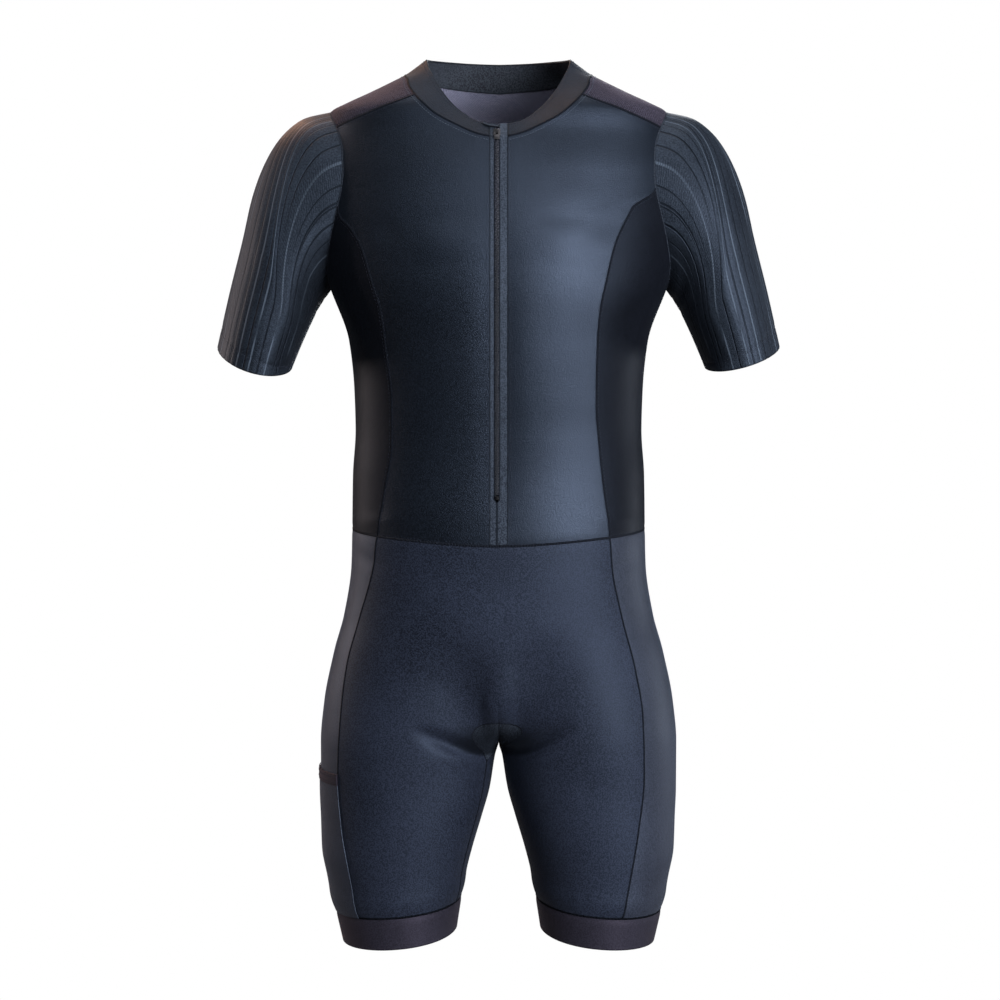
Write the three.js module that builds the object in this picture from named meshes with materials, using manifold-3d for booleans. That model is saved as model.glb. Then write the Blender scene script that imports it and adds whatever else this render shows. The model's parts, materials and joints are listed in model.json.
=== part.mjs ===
// Short-sleeved triathlon suit, worn and hollow, in millimetres.
// +Z is up, the front faces -Y, +X is the wearer's left.
// The origin is the middle of the neck base, level with the collar seam at the side of the neck.
import * as THREE from "three";
import { mergeVertices } from "three/addons/utils/BufferGeometryUtils.js";
import Module from "manifold-3d";

// Driving dimensions
const CLOTH = 1.5; // knitted panel
const BAND = 2.2; // doubled hem and collar cloth
const SEAM_GAP = 0.3; // between two panels at a seam
const CROTCH_Z = -686; // lowest point between the legs
const SPLIT_TOP_Z = -545; // where the two legs start to show in the section
const SPLIT_ROUNDNESS = 2.5;
const FORK_WIDTH = 38; // degrees each side of the middle over which the fork fades out
const WAIST_Z = -463; // waist seam at the sides
const WAIST_DIP = 9; // how much lower it runs at the centre front
const BAND_SEAM_Z = -855; // gripper band on the legs, its upper seam
const HEM_Z = -888;
const HEM_TILT = 6; // outer side of the hem lower than its middle
const NECK_FRONT_Z = -70; // collar seam at the centre front
const CHEST_Z = -132; // middle of the front, level with the foot of the front armhole
const BLADE_Z = -95; // middle of the back, level with the shoulder blades

// Sections of the body, a row for each height.
const BODY = table(
  ["z", "halfWidth", "frontDepth", "backDepth", "squareness"],
  [
    [8, 78, 58, 58, 2.2],
    [0, 92, 62, 62, 2.2],
    [-10, 112, 66, 66, 2.2],
    [-20, 133, 70, 71, 2.2],
    [-30, 155, 75, 77, 2.25],
    [-38, 170, 79, 82, 2.15],
    [-60, 179, 86, 94, 2.05],
    [-75, 184, 92, 101, 2.0],
    [-100, 188, 101, 110, 2.0],
    [-140, 189, 112, 117, 2.05],
    [-180, 184, 119, 119, 2.15],
    [-217, 172, 121, 117, 2.3],
    [-271, 153, 117, 108, 2.35],
    [-321, 148, 111, 96, 2.35],
    [-361, 147, 106, 88, 2.35],
    [-408, 150, 103, 84, 2.35],
    [-463, 151, 104, 92, 2.35],
    [-500, 152, 104, 101, 2.35],
    [-553, 160, 103, 111, 2.3],
    [-593, 171, 101, 115, 2.3],
    [-642, 181, 97, 115, 2.2],
    [-691, 185, 92, 110, 2.1],
  ],
);

// Sections of one leg: the inner and outer sides measured from the suit's middle.
const LEG = table(
  ["z", "inner", "outer", "frontDepth", "backDepth", "squareness"],
  [
    [-500, 0, 152, 96, 100, 2.1],
    [-593, 0, 171, 95, 104, 2.1],
    [-642, 0, 181, 94, 104, 2.1],
    [-686, 0, 185, 92, 101, 2.1],
    [-700, 3.5, 185, 91, 99, 2.1],
    [-734, 9, 185, 88, 96, 2.1],
    [-763, 17, 184, 86, 93, 2.1],
    [-797, 27, 183, 83, 89, 2.1],
    [-825, 34, 178, 80, 85, 2.1],
    [-860, 40, 171, 77, 81, 2.1],
    [-900, 46, 162, 75, 78, 2.1],
  ],
);

// Collar seam as the angle round the neck from the centre front.
const NECK_SEAM = table(
  ["angle", "z"],
  [
    [0, -70],
    [14, -65],
    [27, -56],
    [38, -46],
    [48, -32],
    [58, -19],
    [70, -6],
    [90, -1],
    [120, -5],
    [150, -11],
    [180, -14],
  ],
);

// Top edge of the collar, by the same angle.
const COLLAR_TOP = table(
  ["angle", "radius", "z"],
  [
    [0, 79, -56],
    [15, 77, -52],
    [33, 74, -39],
    [50, 74, -20],
    [68, 74, 1],
    [90, 73, 15],
    [130, 63, 16],
    [180, 56, 15],
  ],
);

// Seams between the front and side panels: how far out each lies, by height. The suit sits
// turned a little on the figure, so the two sides differ.
const FRONT_SEAM = table(
  ["z", "left", "right"],
  [
    [-141, 131, 161],
    [-160, 121, 146],
    [-175, 114.5, 137],
    [-210, 106, 126],
    [-240, 100, 117],
    [-280, 97.5, 112],
    [-330, 97, 107],
    [-370, 100, 107],
    [-415, 105, 114],
    [-463, 111.5, 122],
    [-500, 114.5, 127],
    [-550, 125, 141],
    [-600, 138, 154.5],
    [-650, 146, 160.5],
    [-710, 147.5, 163.5],
    [-765, 142, 159.5],
    [-815, 134, 151],
    [-860, 126, 143],
  ],
);
const BACK_SEAM = table(
  ["z", "left", "right"],
  [
    [-160, 142, 142],
    [-210, 122, 122],
    [-280, 106, 106],
    [-370, 101, 101],
    [-463, 108, 108],
    [-550, 122, 122],
    [-650, 142, 142],
    [-765, 145, 145],
    [-860, 130, 130],
  ],
);

// Armhole: an ellipse seen from the side, laid on the body.
const ARMHOLE = { centreY: 2, centreZ: -128, halfHeight: 90, halfDepth: 62 };
const ARMHOLE_AT = {
  yoke: 37, // front end of the shoulder piece
  frontSeam: { left: 84, right: 95 },
  backSeam: 262,
  shoulderBlade: 312, // where the shoulder stretch of the back panel meets its lower stretch
};
const YOKE_NECK_ANGLE = 53; // where the shoulder piece starts on the collar seam
const BLADE_NECK_ANGLE = 140;

// Sleeve: outer and inner lines seen from the front, by the share of the way to the hem.
const SLEEVE = table(
  ["share", "outerX", "outerZ", "innerX", "innerZ", "halfDepth"],
  [
    [0, 170, -38, 172, -218, 62],
    [0.1, 196, -44, 177, -225, 63],
    [0.2, 219, -61, 182, -232, 63],
    [0.32, 238, -90, 187, -241, 62],
    [0.45, 251, -124, 192, -252, 61],
    [0.6, 261, -166, 198, -265, 59],
    [0.8, 275, -220, 205, -281, 57],
    [1, 288, -275, 212, -298, 55],
  ],
);
const SLEEVE_FRONT_DROP = { left: 9, right: 15 }; // front of the sleeve hem under its middle
const RIBS = { count: 22, from: -104, to: 104, height: 0.6 };

// Inseam: its turn round the leg from the innermost line towards the front.
const INSEAM_ANGLE = { left: -5, right: 13 };
const INSEAM_TOP_Z = -700;
const GUSSET = { frontZ: -660, backZ: -655, cornerX: 37, cornerZ: -677 };

// Zip
const ZIP_X = -1.5;
const FRONT_EDGE = { left: 9.5, right: 9 }; // cloth edges each side of the zip
const COIL_HALF = 2;
const TAPE_EDGE = 2.3; // from the zip's middle to a tape's inner edge
const TAPE = { recess: 0.4, thickness: 1 };
const COIL = { recess: -0.6, thickness: 2.2 };
const STOP_Z = -422;
const STOP_LENGTH = 4;

// Thigh pocket on the wearer's right side panel
const POCKET = { mouthZ: -710, bindingHeight: 11, thickness: 1.2 };
const bindingFoot = POCKET.mouthZ - POCKET.bindingHeight;

const COLOURS = {
  front: ["#1d2533", 0.42],
  side: ["#17171f", 0.5],
  back: ["#2d2731", 0.75],
  sleeve: ["#262e39", 0.55],
  shorts: ["#262c3c", 0.68],
  gusset: ["#15151c", 0.8],
  band: ["#322b37", 0.62],
  collar: ["#23272e", 0.7],
  tape: ["#23262f", 0.8],
  coil: ["#15171d", 0.45],
  hardware: ["#4b4a4c", 0.38],
};

// Tables and smooth curves

// The first column is the key, and each other column becomes a smooth function of it.
function table(names, rows) {
  const sorted = [...rows].sort((a, b) => a[0] - b[0]);
  const keys = sorted.map((row) => row[0]);
  const made = {};
  names.slice(1).forEach((name, i) => {
    made[name] = monotoneCurve(
      keys,
      sorted.map((row) => row[i + 1]),
    );
  });
  return made;
}

// Cubic through the points that never overshoots them.
function monotoneCurve(keys, values) {
  const last = keys.length - 1;
  const slopes = keys.slice(1).map((k, i) => (values[i + 1] - values[i]) / (k - keys[i]));
  const tangents = values.map((_, i) => {
    if (i === 0) return slopes[0];
    if (i === last) return slopes[last - 1];
    const [before, after] = [slopes[i - 1], slopes[i]];
    return before * after <= 0 ? 0 : (2 * before * after) / (before + after);
  });
  return (key) => {
    const held = Math.min(Math.max(key, keys[0]), keys[last]);
    let i = 0;
    while (i < last - 1 && keys[i + 1] < held) i += 1;
    const step = keys[i + 1] - keys[i];
    const u = (held - keys[i]) / step;
    const rise = values[i + 1] - values[i];
    const smooth = u * u * (3 - 2 * u);
    const startPull = u * (1 - u) * (1 - u) * step * tangents[i];
    const endPull = u * u * (u - 1) * step * tangents[i + 1];
    return values[i] + rise * smooth + startPull + endPull;
  };
}

const radians = (degrees) => (degrees * Math.PI) / 180;
const degrees = (angle) => (angle * 180) / Math.PI;
const mix = (a, b, share) => a + (b - a) * share;
const easeInOut = (u) => u * u * (3 - 2 * u);
const range = (count) => Array.from({ length: count + 1 }, (_, i) => i / count);
const sign = (side) => (side === "left" ? 1 : -1);

// The body and legs

function superellipseRadius(across, along, halfWidth, depth, squareness) {
  const sum = (Math.abs(across) / halfWidth) ** squareness + (Math.abs(along) / depth) ** squareness;
  return sum ** (-1 / squareness);
}

// 0 on the torso, 1 on a leg: how far the section has parted into two legs. Near the middle it
// parts in a rounded fork, and out on the thigh it changes gently.
function legShare(angle, z) {
  if (z >= SPLIT_TOP_Z) return 0;
  if (z <= CROTCH_Z) return 1;
  const way = (SPLIT_TOP_Z - z) / (SPLIT_TOP_Z - CROTCH_Z);
  const fork = 1 - (1 - way ** SPLIT_ROUNDNESS) ** (1 / SPLIT_ROUNDNESS);
  const outwards = Math.min(Math.abs(angle), Math.abs(180 - angle)) / FORK_WIDTH;
  return mix(fork, easeInOut(way), easeInOut(Math.min(outwards, 1)));
}

// A point of one half of the suit. The angle is 0 at the centre front, 90 at the side and 180 at
// the centre back. On a leg the same angle, doubled, goes once round it from its inner line.
function bodyPoint(side, angle, z) {
  const share = legShare(angle, z);
  const sine = Math.sin(radians(angle));
  const cosine = Math.cos(radians(angle));
  const depth = cosine >= 0 ? BODY.frontDepth(z) : BODY.backDepth(z);
  const radius = superellipseRadius(sine, cosine, BODY.halfWidth(z), depth, BODY.squareness(z));
  let x = radius * sine;
  let y = -radius * cosine;
  if (share > 0) {
    const across = Math.cos(radians(2 * angle));
    const along = Math.sin(radians(2 * angle));
    const inner = LEG.inner(z);
    const halfWidth = (LEG.outer(z) - inner) / 2;
    const legDepth = along >= 0 ? LEG.frontDepth(z) : LEG.backDepth(z);
    const legRadius = superellipseRadius(across, along, halfWidth, legDepth, LEG.squareness(z));
    x = mix(x, inner + halfWidth - legRadius * across, share);
    y = mix(y, -legRadius * along, share);
  }
  return new THREE.Vector3(sign(side) * x, y, z);
}

// Outward direction of the body at an angle and height.
function bodyNormal(side, angle, z) {
  const step = 0.2;
  const around = bodyPoint(side, angle + step, z).sub(bodyPoint(side, angle - step, z));
  const up = bodyPoint(side, angle, z + step).sub(bodyPoint(side, angle, z - step));
  return around.cross(up).multiplyScalar(sign(side)).normalize();
}

// The angle at which one half of the body reaches a distance from the middle, by halving.
function angleAtX(x, z, isBack) {
  let near = 0;
  let far = 90;
  for (let i = 0; i < 40; i += 1) {
    const middle = (near + far) / 2;
    const reached = bodyPoint("left", isBack ? 180 - middle : middle, z).x;
    if (reached < x) near = middle;
    else far = middle;
  }
  return isBack ? 180 - near : near;
}

// Seams, as lists of places {angle, z} on one half of the body

const place = (angle, z) => ({ angle, z });
const waistZ = (angle) => WAIST_Z - WAIST_DIP * Math.max(0, Math.cos(radians(angle))) ** 2;
const bandSeamZ = (angle) => BAND_SEAM_Z + HEM_TILT * Math.cos(radians(2 * angle));
const hemZ = (angle) => HEM_Z + HEM_TILT * Math.cos(radians(2 * angle));

function line(from, to, count) {
  return range(count).map((u) => place(mix(from.angle, to.angle, u), mix(from.z, to.z, u)));
}

function join(...runs) {
  return runs.reduce((whole, run) => whole.concat(run.slice(1)));
}

const heightsRun = (from, to, count) => range(count).map((u) => mix(from, to, u));

function armholePlace(turn) {
  const y = ARMHOLE.centreY - ARMHOLE.halfDepth * Math.sin(radians(turn));
  const z = ARMHOLE.centreZ + ARMHOLE.halfHeight * Math.cos(radians(turn));
  const depth = y <= 0 ? BODY.frontDepth(z) : BODY.backDepth(z);
  const squareness = BODY.squareness(z);
  const x = BODY.halfWidth(z) * (1 - Math.abs(y / depth) ** squareness) ** (1 / squareness);
  return place(degrees(Math.atan2(x, -y)), z);
}

function armholeRun(from, to, count) {
  return range(count).map((u) => armholePlace(mix(from, to, u)));
}

function neckRun(from, to, count) {
  return range(count).map((u) => {
    const angle = mix(from, to, u);
    return place(angle, NECK_SEAM.z(angle));
  });
}

// A seam that follows a column of distances down from its first place.
function seamDown(start, lastZ, distances, isBack, count) {
  const firstX = bodyPoint("left", start.angle, start.z).x;
  const settled = start.z - 22;
  const run = range(count).map((u) => {
    const z = mix(start.z, lastZ, u);
    const blend = z > settled ? easeInOut((start.z - z) / (start.z - settled)) : 1;
    return place(angleAtX(mix(firstX, distances(z), blend), z, isBack), z);
  });
  run[0] = start;
  return run;
}

const COUNT = {
  neckFront: 7,
  yoke: 5,
  armholeFront: 4,
  frontSeam: 13,
  armholeUnder: 8,
  armholeBlade: 3,
  armholeTop: 7,
  backSeam: 13,
  neckShoulder: 7,
  neckBack: 3,
  bladeLine: 5,
};

// Every seam of the upper half of one side.
function upperSeams(side) {
  const zipAngle = angleAtX(FRONT_EDGE[side], NECK_FRONT_Z, false);
  const yokeNeck = place(YOKE_NECK_ANGLE, NECK_SEAM.z(YOKE_NECK_ANGLE));
  const yokeArm = armholePlace(ARMHOLE_AT.yoke);
  const frontArm = armholePlace(ARMHOLE_AT.frontSeam[side]);
  const backArm = armholePlace(ARMHOLE_AT.backSeam);
  const bladeArm = armholePlace(ARMHOLE_AT.shoulderBlade);
  const bladeNeck = place(BLADE_NECK_ANGLE, NECK_SEAM.z(BLADE_NECK_ANGLE));
  const waistFrontAngle = angleAtX(FRONT_SEAM[side](WAIST_Z), WAIST_Z, false);
  const waistBackAngle = angleAtX(BACK_SEAM[side](WAIST_Z), WAIST_Z, true);
  const frontSeam = seamDown(
    frontArm,
    waistZ(waistFrontAngle),
    FRONT_SEAM[side],
    false,
    COUNT.frontSeam,
  );
  const backSeam = seamDown(
    backArm,
    waistZ(waistBackAngle),
    BACK_SEAM[side],
    true,
    COUNT.backSeam,
  );
  const zipEdge = join(
    heightsRun(NECK_FRONT_Z, CHEST_Z, COUNT.yoke + COUNT.armholeFront),
    heightsRun(CHEST_Z, waistZ(0), COUNT.frontSeam),
  ).map((z) => place(angleAtX(FRONT_EDGE[side], z, false), z));
  zipEdge[0] = place(zipAngle, NECK_SEAM.z(zipAngle));
  return {
    zipEdge,
    neckFront: neckRun(zipAngle, YOKE_NECK_ANGLE, COUNT.neckFront),
    neckShoulder: neckRun(YOKE_NECK_ANGLE, BLADE_NECK_ANGLE, COUNT.neckShoulder),
    neckBack: neckRun(BLADE_NECK_ANGLE, 180, COUNT.neckBack),
    yoke: line(yokeNeck, yokeArm, COUNT.yoke),
    armholeFront: armholeRun(ARMHOLE_AT.yoke, ARMHOLE_AT.frontSeam[side], COUNT.armholeFront),
    armholeUnder: armholeRun(ARMHOLE_AT.frontSeam[side], ARMHOLE_AT.backSeam, COUNT.armholeUnder),
    armholeBlade: armholeRun(ARMHOLE_AT.backSeam, ARMHOLE_AT.shoulderBlade, COUNT.armholeBlade),
    armholeTop: armholeRun(ARMHOLE_AT.shoulderBlade, 360 + ARMHOLE_AT.yoke, COUNT.armholeTop),
    frontSeam,
    backSeam,
    bladeLine: line(bladeArm, bladeNeck, COUNT.bladeLine),
    waistFront: waistRun(zipEdge.at(-1).angle, frontSeam.at(-1).angle, COUNT.neckFront),
    waistSide: waistRun(frontSeam.at(-1).angle, backSeam.at(-1).angle, COUNT.armholeUnder),
    waistBack: waistRun(backSeam.at(-1).angle, 180, COUNT.bladeLine + COUNT.neckBack),
  };
}

function waistRun(from, to, count) {
  return range(count).map((u) => {
    const angle = mix(from, to, u);
    return place(angle, waistZ(angle));
  });
}

const UPPER = { left: upperSeams("left"), right: upperSeams("right") };

// Sheets of cloth

// Fills four edges of places with a grid: top and bottom run one way, start and end the other.
function coonsGrid(top, bottom, start, end) {
  const across = top.length - 1;
  const down = start.length - 1;
  const blend = (key, i, j) => {
    const u = i / across;
    const v = j / down;
    const ruled = mix(top[i][key], bottom[i][key], v) + mix(start[j][key], end[j][key], u);
    const upperPair = mix(top[0][key], top[across][key], u);
    const lowerPair = mix(bottom[0][key], bottom[across][key], u);
    return ruled - mix(upperPair, lowerPair, v);
  };
  return start.map((_, j) => top.map((__, i) => place(blend("angle", i, j), blend("z", i, j))));
}

// A grid of rows that run straight from one edge to the other.
function ruledGrid(start, end, count) {
  return start.map((from, j) => line(from, end[j], count));
}

const onBody = (side) => (at) => ({
  point: bodyPoint(side, at.angle, at.z),
  normal: bodyNormal(side, at.angle, at.z),
});

// A surface collected from grids whose shared places are welded, then given its thickness.
class Sheet {
  constructor() {
    this.points = [];
    this.normals = [];
    this.lifts = [];
    this.quads = [];
    this.found = new Map();
  }

  vertex({ point, normal, lift = 0 }) {
    const key = point.toArray().map((c) => Math.round(c * 1000)).join(" ");
    if (!this.found.has(key)) {
      this.found.set(key, this.points.length);
      this.points.push(point);
      this.normals.push(normal);
      this.lifts.push(lift);
    }
    return this.found.get(key);
  }

  add(grid, surface) {
    const ids = grid.map((row) => row.map((at) => this.vertex(surface(at))));
    for (let j = 0; j < ids.length - 1; j += 1) {
      for (let i = 0; i < ids[j].length - 1; i += 1) {
        this.addQuad([ids[j][i], ids[j][i + 1], ids[j + 1][i + 1], ids[j + 1][i]]);
      }
    }
    return this;
  }

  // Turns the quad so that it faces the way its points' own directions do.
  addQuad(quad) {
    const [a, b, c, d] = quad.map((id) => this.points[id]);
    const facing = c.clone().sub(a).cross(d.clone().sub(b));
    const wanted = new THREE.Vector3();
    quad.forEach((id) => wanted.add(this.normals[id]));
    this.quads.push(facing.dot(wanted) >= 0 ? quad : [...quad].reverse());
  }

  boundaryEdges() {
    const seen = new Map();
    for (const quad of this.quads) {
      quad.forEach((id, i) => {
        const next = quad[(i + 1) % quad.length];
        if (id !== next) seen.set(id + " " + next, [id, next]);
      });
    }
    return [...seen.values()].filter(([from, to]) => !seen.has(to + " " + from));
  }

  // Moves each edge point inwards along the sheet, so that neighbours stay a seam gap apart.
  insetEdges(edges, distance) {
    const inward = new Map();
    for (const [from, to] of edges) {
      const along = this.points[to].clone().sub(this.points[from]);
      for (const id of [from, to]) {
        const left = this.normals[id].clone().cross(along).normalize();
        if (!inward.has(id)) inward.set(id, []);
        inward.get(id).push(left);
      }
    }
    const moved = new Map();
    for (const [id, [first, second]] of inward) {
      const step = first.clone().add(second).multiplyScalar(distance / (1 + first.dot(second)));
      moved.set(id, this.points[id].clone().add(step));
    }
    moved.forEach((point, id) => {
      this.points[id] = point;
    });
  }

  // Directions of the inner points are worked out from the faces round them.
  smoothInnerNormals(edges) {
    const onEdge = new Set(edges.flat());
    const sums = this.points.map(() => new THREE.Vector3());
    for (const quad of this.quads) {
      const [a, b, c, d] = quad.map((id) => this.points[id]);
      const facing = c.clone().sub(a).cross(d.clone().sub(b));
      quad.forEach((id) => sums[id].add(facing));
    }
    sums.forEach((sum, id) => {
      if (!onEdge.has(id)) this.normals[id] = sum.normalize();
    });
  }

  // The closed wall: the outer face moved out by its lift, the inner face behind it.
  solid(thickness, recess = 0, inset = SEAM_GAP / 2) {
    const edges = this.boundaryEdges();
    this.insetEdges(edges, inset);
    this.smoothInnerNormals(edges);
    const moved = (id, distance) => this.points[id].clone().addScaledVector(this.normals[id], distance);
    const outer = this.points.map((_, id) => moved(id, this.lifts[id] - recess));
    const inner = this.points.map((_, id) => moved(id, -recess - thickness));
    const count = outer.length;
    const faces = [];
    for (const quad of this.quads) {
      const corners = quad.filter((id, i) => id !== quad[(i + 1) % quad.length]);
      for (let i = 1; i < corners.length - 1; i += 1) {
        faces.push([corners[0], corners[i], corners[i + 1]]);
        faces.push([corners[0] + count, corners[i + 1] + count, corners[i] + count]);
      }
    }
    for (const [from, to] of edges) {
      faces.push([to, from, from + count]);
      faces.push([to, from + count, to + count]);
    }
    return indexedGeometry([...outer, ...inner], faces);
  }
}

function indexedGeometry(points, faces) {
  const geometry = new THREE.BufferGeometry();
  const flat = new Float32Array(points.flatMap((point) => point.toArray()));
  geometry.setAttribute("position", new THREE.BufferAttribute(flat, 3));
  geometry.setIndex(faces.flat());
  geometry.computeVertexNormals();
  return geometry;
}

const suit = new THREE.Group();

function addPiece(name, geometry, look, parent = suit) {
  const [color, roughness] = COLOURS[look];
  const metalness = look === "hardware" ? 0.6 : 0;
  const material = new THREE.MeshStandardMaterial({ color, roughness, metalness });
  const mesh = new THREE.Mesh(geometry, material);
  mesh.name = name;
  parent.add(mesh);
  return mesh;
}

// Upper panels

function addFront(side) {
  const seams = UPPER[side];
  const outerEdge = join(seams.yoke, seams.armholeFront, seams.frontSeam);
  const grid = coonsGrid(seams.neckFront, seams.waistFront, seams.zipEdge, outerEdge);
  addPiece("front_" + side, new Sheet().add(grid, onBody(side)).solid(CLOTH), "front");
}

function addSide(side) {
  const seams = UPPER[side];
  const grid = coonsGrid(seams.armholeUnder, seams.waistSide, seams.frontSeam, seams.backSeam);
  addPiece("side_" + side, new Sheet().add(grid, onBody(side)).solid(CLOTH), "side");
}

// One piece: the back with the two stretches that come over the shoulders to the yoke seams.
function addBack() {
  const sheet = new Sheet();
  for (const side of ["left", "right"]) {
    const seams = UPPER[side];
    const shoulder = coonsGrid(
      seams.neckShoulder,
      [...seams.armholeTop].reverse(),
      seams.yoke,
      [...seams.bladeLine].reverse(),
    );
    const centreLine = join(
      heightsRun(NECK_SEAM.z(180), BLADE_Z, COUNT.armholeBlade),
      heightsRun(BLADE_Z, waistZ(180), COUNT.backSeam),
    ).map((z) => place(180, z));
    const lower = coonsGrid(
      join(seams.bladeLine, seams.neckBack),
      seams.waistBack,
      join([...seams.armholeBlade].reverse(), seams.backSeam),
      centreLine,
    );
    sheet.add(shoulder, onBody(side)).add(lower, onBody(side));
  }
  addPiece("back", sheet.solid(CLOTH), "back");
}

// Sleeves

// The armhole as its neighbours' straight edges, by the turn from the top of the shoulder.
function armholeEdge(side) {
  const seams = UPPER[side];
  const turns = [
    [ARMHOLE_AT.yoke, ARMHOLE_AT.frontSeam[side], seams.armholeFront],
    [ARMHOLE_AT.frontSeam[side], ARMHOLE_AT.backSeam, seams.armholeUnder],
    [ARMHOLE_AT.backSeam, ARMHOLE_AT.shoulderBlade, seams.armholeBlade],
    [ARMHOLE_AT.shoulderBlade, 360 + ARMHOLE_AT.yoke, seams.armholeTop],
  ];
  return (turn) => {
    const wrapped = turn < ARMHOLE_AT.yoke ? turn + 360 : turn;
    const [from, to, run] = turns.find((entry) => wrapped <= entry[1] + 1e-9);
    const way = ((wrapped - from) / (to - from)) * (run.length - 1);
    const i = Math.min(Math.floor(way), run.length - 2);
    const start = bodyPoint(side, run[i].angle, run[i].z);
    const end = bodyPoint(side, run[i + 1].angle, run[i + 1].z);
    return start.lerp(end, way - i);
  };
}

// Plain ellipse of the sleeve at a share of its length: the turn is 0 outside and 90 in front.
function sleeveRing(side, turn, share) {
  const outer = new THREE.Vector3(SLEEVE.outerX(share), 0, SLEEVE.outerZ(share));
  const inner = new THREE.Vector3(SLEEVE.innerX(share), 0, SLEEVE.innerZ(share));
  const across = outer.clone().sub(inner).multiplyScalar(0.5 * Math.cos(radians(turn)));
  const centre = outer.add(inner).multiplyScalar(0.5);
  const forward = Math.sin(radians(turn));
  const drop = SLEEVE_FRONT_DROP[side] * share * forward;
  const point = centre.add(across).add(new THREE.Vector3(0, -SLEEVE.halfDepth(share) * forward, -drop));
  point.x *= sign(side);
  return point;
}

function sleevePoint(side, edge, turn, share) {
  const held = 1 - easeInOut(Math.min(share / 0.55, 1));
  const correction = edge(turn).sub(sleeveRing(side, turn, 0)).multiplyScalar(held);
  return sleeveRing(side, turn, share).add(correction);
}

function addSleeve(side) {
  const edge = armholeEdge(side);
  const ribStep = (RIBS.to - RIBS.from) / RIBS.count / 2;
  const ribTurns = range(RIBS.count * 2).map((_, i) => RIBS.from + i * ribStep);
  const underTurns = range(9).slice(1).map((u) => mix(RIBS.to, 360 + RIBS.from, u));
  const turns = ribTurns.concat(underTurns);
  turns[turns.length - 1] = turns[0];
  const shares = [0, 0.05, 0.12, 0.2, 0.29, 0.39, 0.5, 0.62, 0.74, 0.87, 1];
  const ribLift = (i, share) => {
    const isTop = i < ribTurns.length && i % 2 === 1;
    return isTop ? RIBS.height * easeInOut(Math.min(share / 0.12, 1)) : 0;
  };
  const grid = shares.map((share) => turns.map((turn, i) => ({ turn, share, i })));
  const surface = ({ turn, share, i }) => {
    const step = 0.01;
    const [before, after] = [Math.max(share - step, 0), Math.min(share + step, 1)];
    const along = sleevePoint(side, edge, turn, after).sub(sleevePoint(side, edge, turn, before));
    const around = sleevePoint(side, edge, turn + 1, share).sub(sleevePoint(side, edge, turn - 1, share));
    const normal = around.cross(along).multiplyScalar(sign(side)).normalize();
    const point = sleevePoint(side, edge, turn, share);
    return { point, normal, lift: ribLift(i, share) };
  };
  const sheet = new Sheet().add(grid, surface);
  addPiece("sleeve_" + side, sheet.solid(CLOTH), "sleeve");
}

// Collar

const COLLAR_ROWS = 3;

const collarRound = (foot) => Math.atan2(Math.abs(foot.x) / 92, -foot.y / 78);

// A point of the collar over a place of the neck seam, at a share of its height. Near the zip
// the top is moved sideways, so that each end of the collar stands straight over its foot.
function collarPoint(side, angle, share) {
  const foot = bodyPoint(side, angle, NECK_SEAM.z(angle));
  const endAngle = UPPER[side].neckFront[0].angle;
  const endRound = collarRound(bodyPoint(side, endAngle, NECK_SEAM.z(endAngle)));
  const shift = FRONT_EDGE[side] - COLLAR_TOP.radius(degrees(endRound)) * Math.sin(endRound);
  const fade = 1 - easeInOut(Math.min(Math.max((angle - endAngle) / 35, 0), 1));
  const round = collarRound(foot);
  const radius = COLLAR_TOP.radius(degrees(round));
  const top = new THREE.Vector3(
    sign(side) * (radius * Math.sin(round) + shift * fade),
    -radius * Math.cos(round),
    COLLAR_TOP.z(degrees(round)),
  );
  return foot.lerp(top, share);
}

function neckPlaces(side) {
  const seams = UPPER[side];
  return join(seams.neckFront, seams.neckShoulder, seams.neckBack);
}

function addCollar() {
  const left = neckPlaces("left").map((at) => ({ side: "left", angle: at.angle }));
  const right = neckPlaces("right").map((at) => ({ side: "right", angle: at.angle }));
  const round = left.concat(right.reverse().slice(1));
  const grid = range(COLLAR_ROWS).map((share) => round.map((at) => ({ ...at, share })));
  const surface = ({ side, angle, share }) => {
    const point = collarPoint(side, angle, share);
    const along = collarPoint(side, angle, 1).sub(collarPoint(side, angle, 0));
    const around = collarPoint(side, angle + 1, share).sub(collarPoint(side, angle - 1, share));
    const own = around.cross(along).multiplyScalar(sign(side)).normalize();
    const normal = bodyNormal(side, angle, NECK_SEAM.z(angle)).lerp(own, easeInOut(share));
    if (angle === UPPER[side].neckFront[0].angle) normal.x = 0;
    return { point, normal: normal.normalize() };
  };
  addPiece("collar", new Sheet().add(grid, surface).solid(BAND), "collar");
}

// Shorts

const ROWS = { hip: 9, gusset: 5, inseam: 8 };

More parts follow.
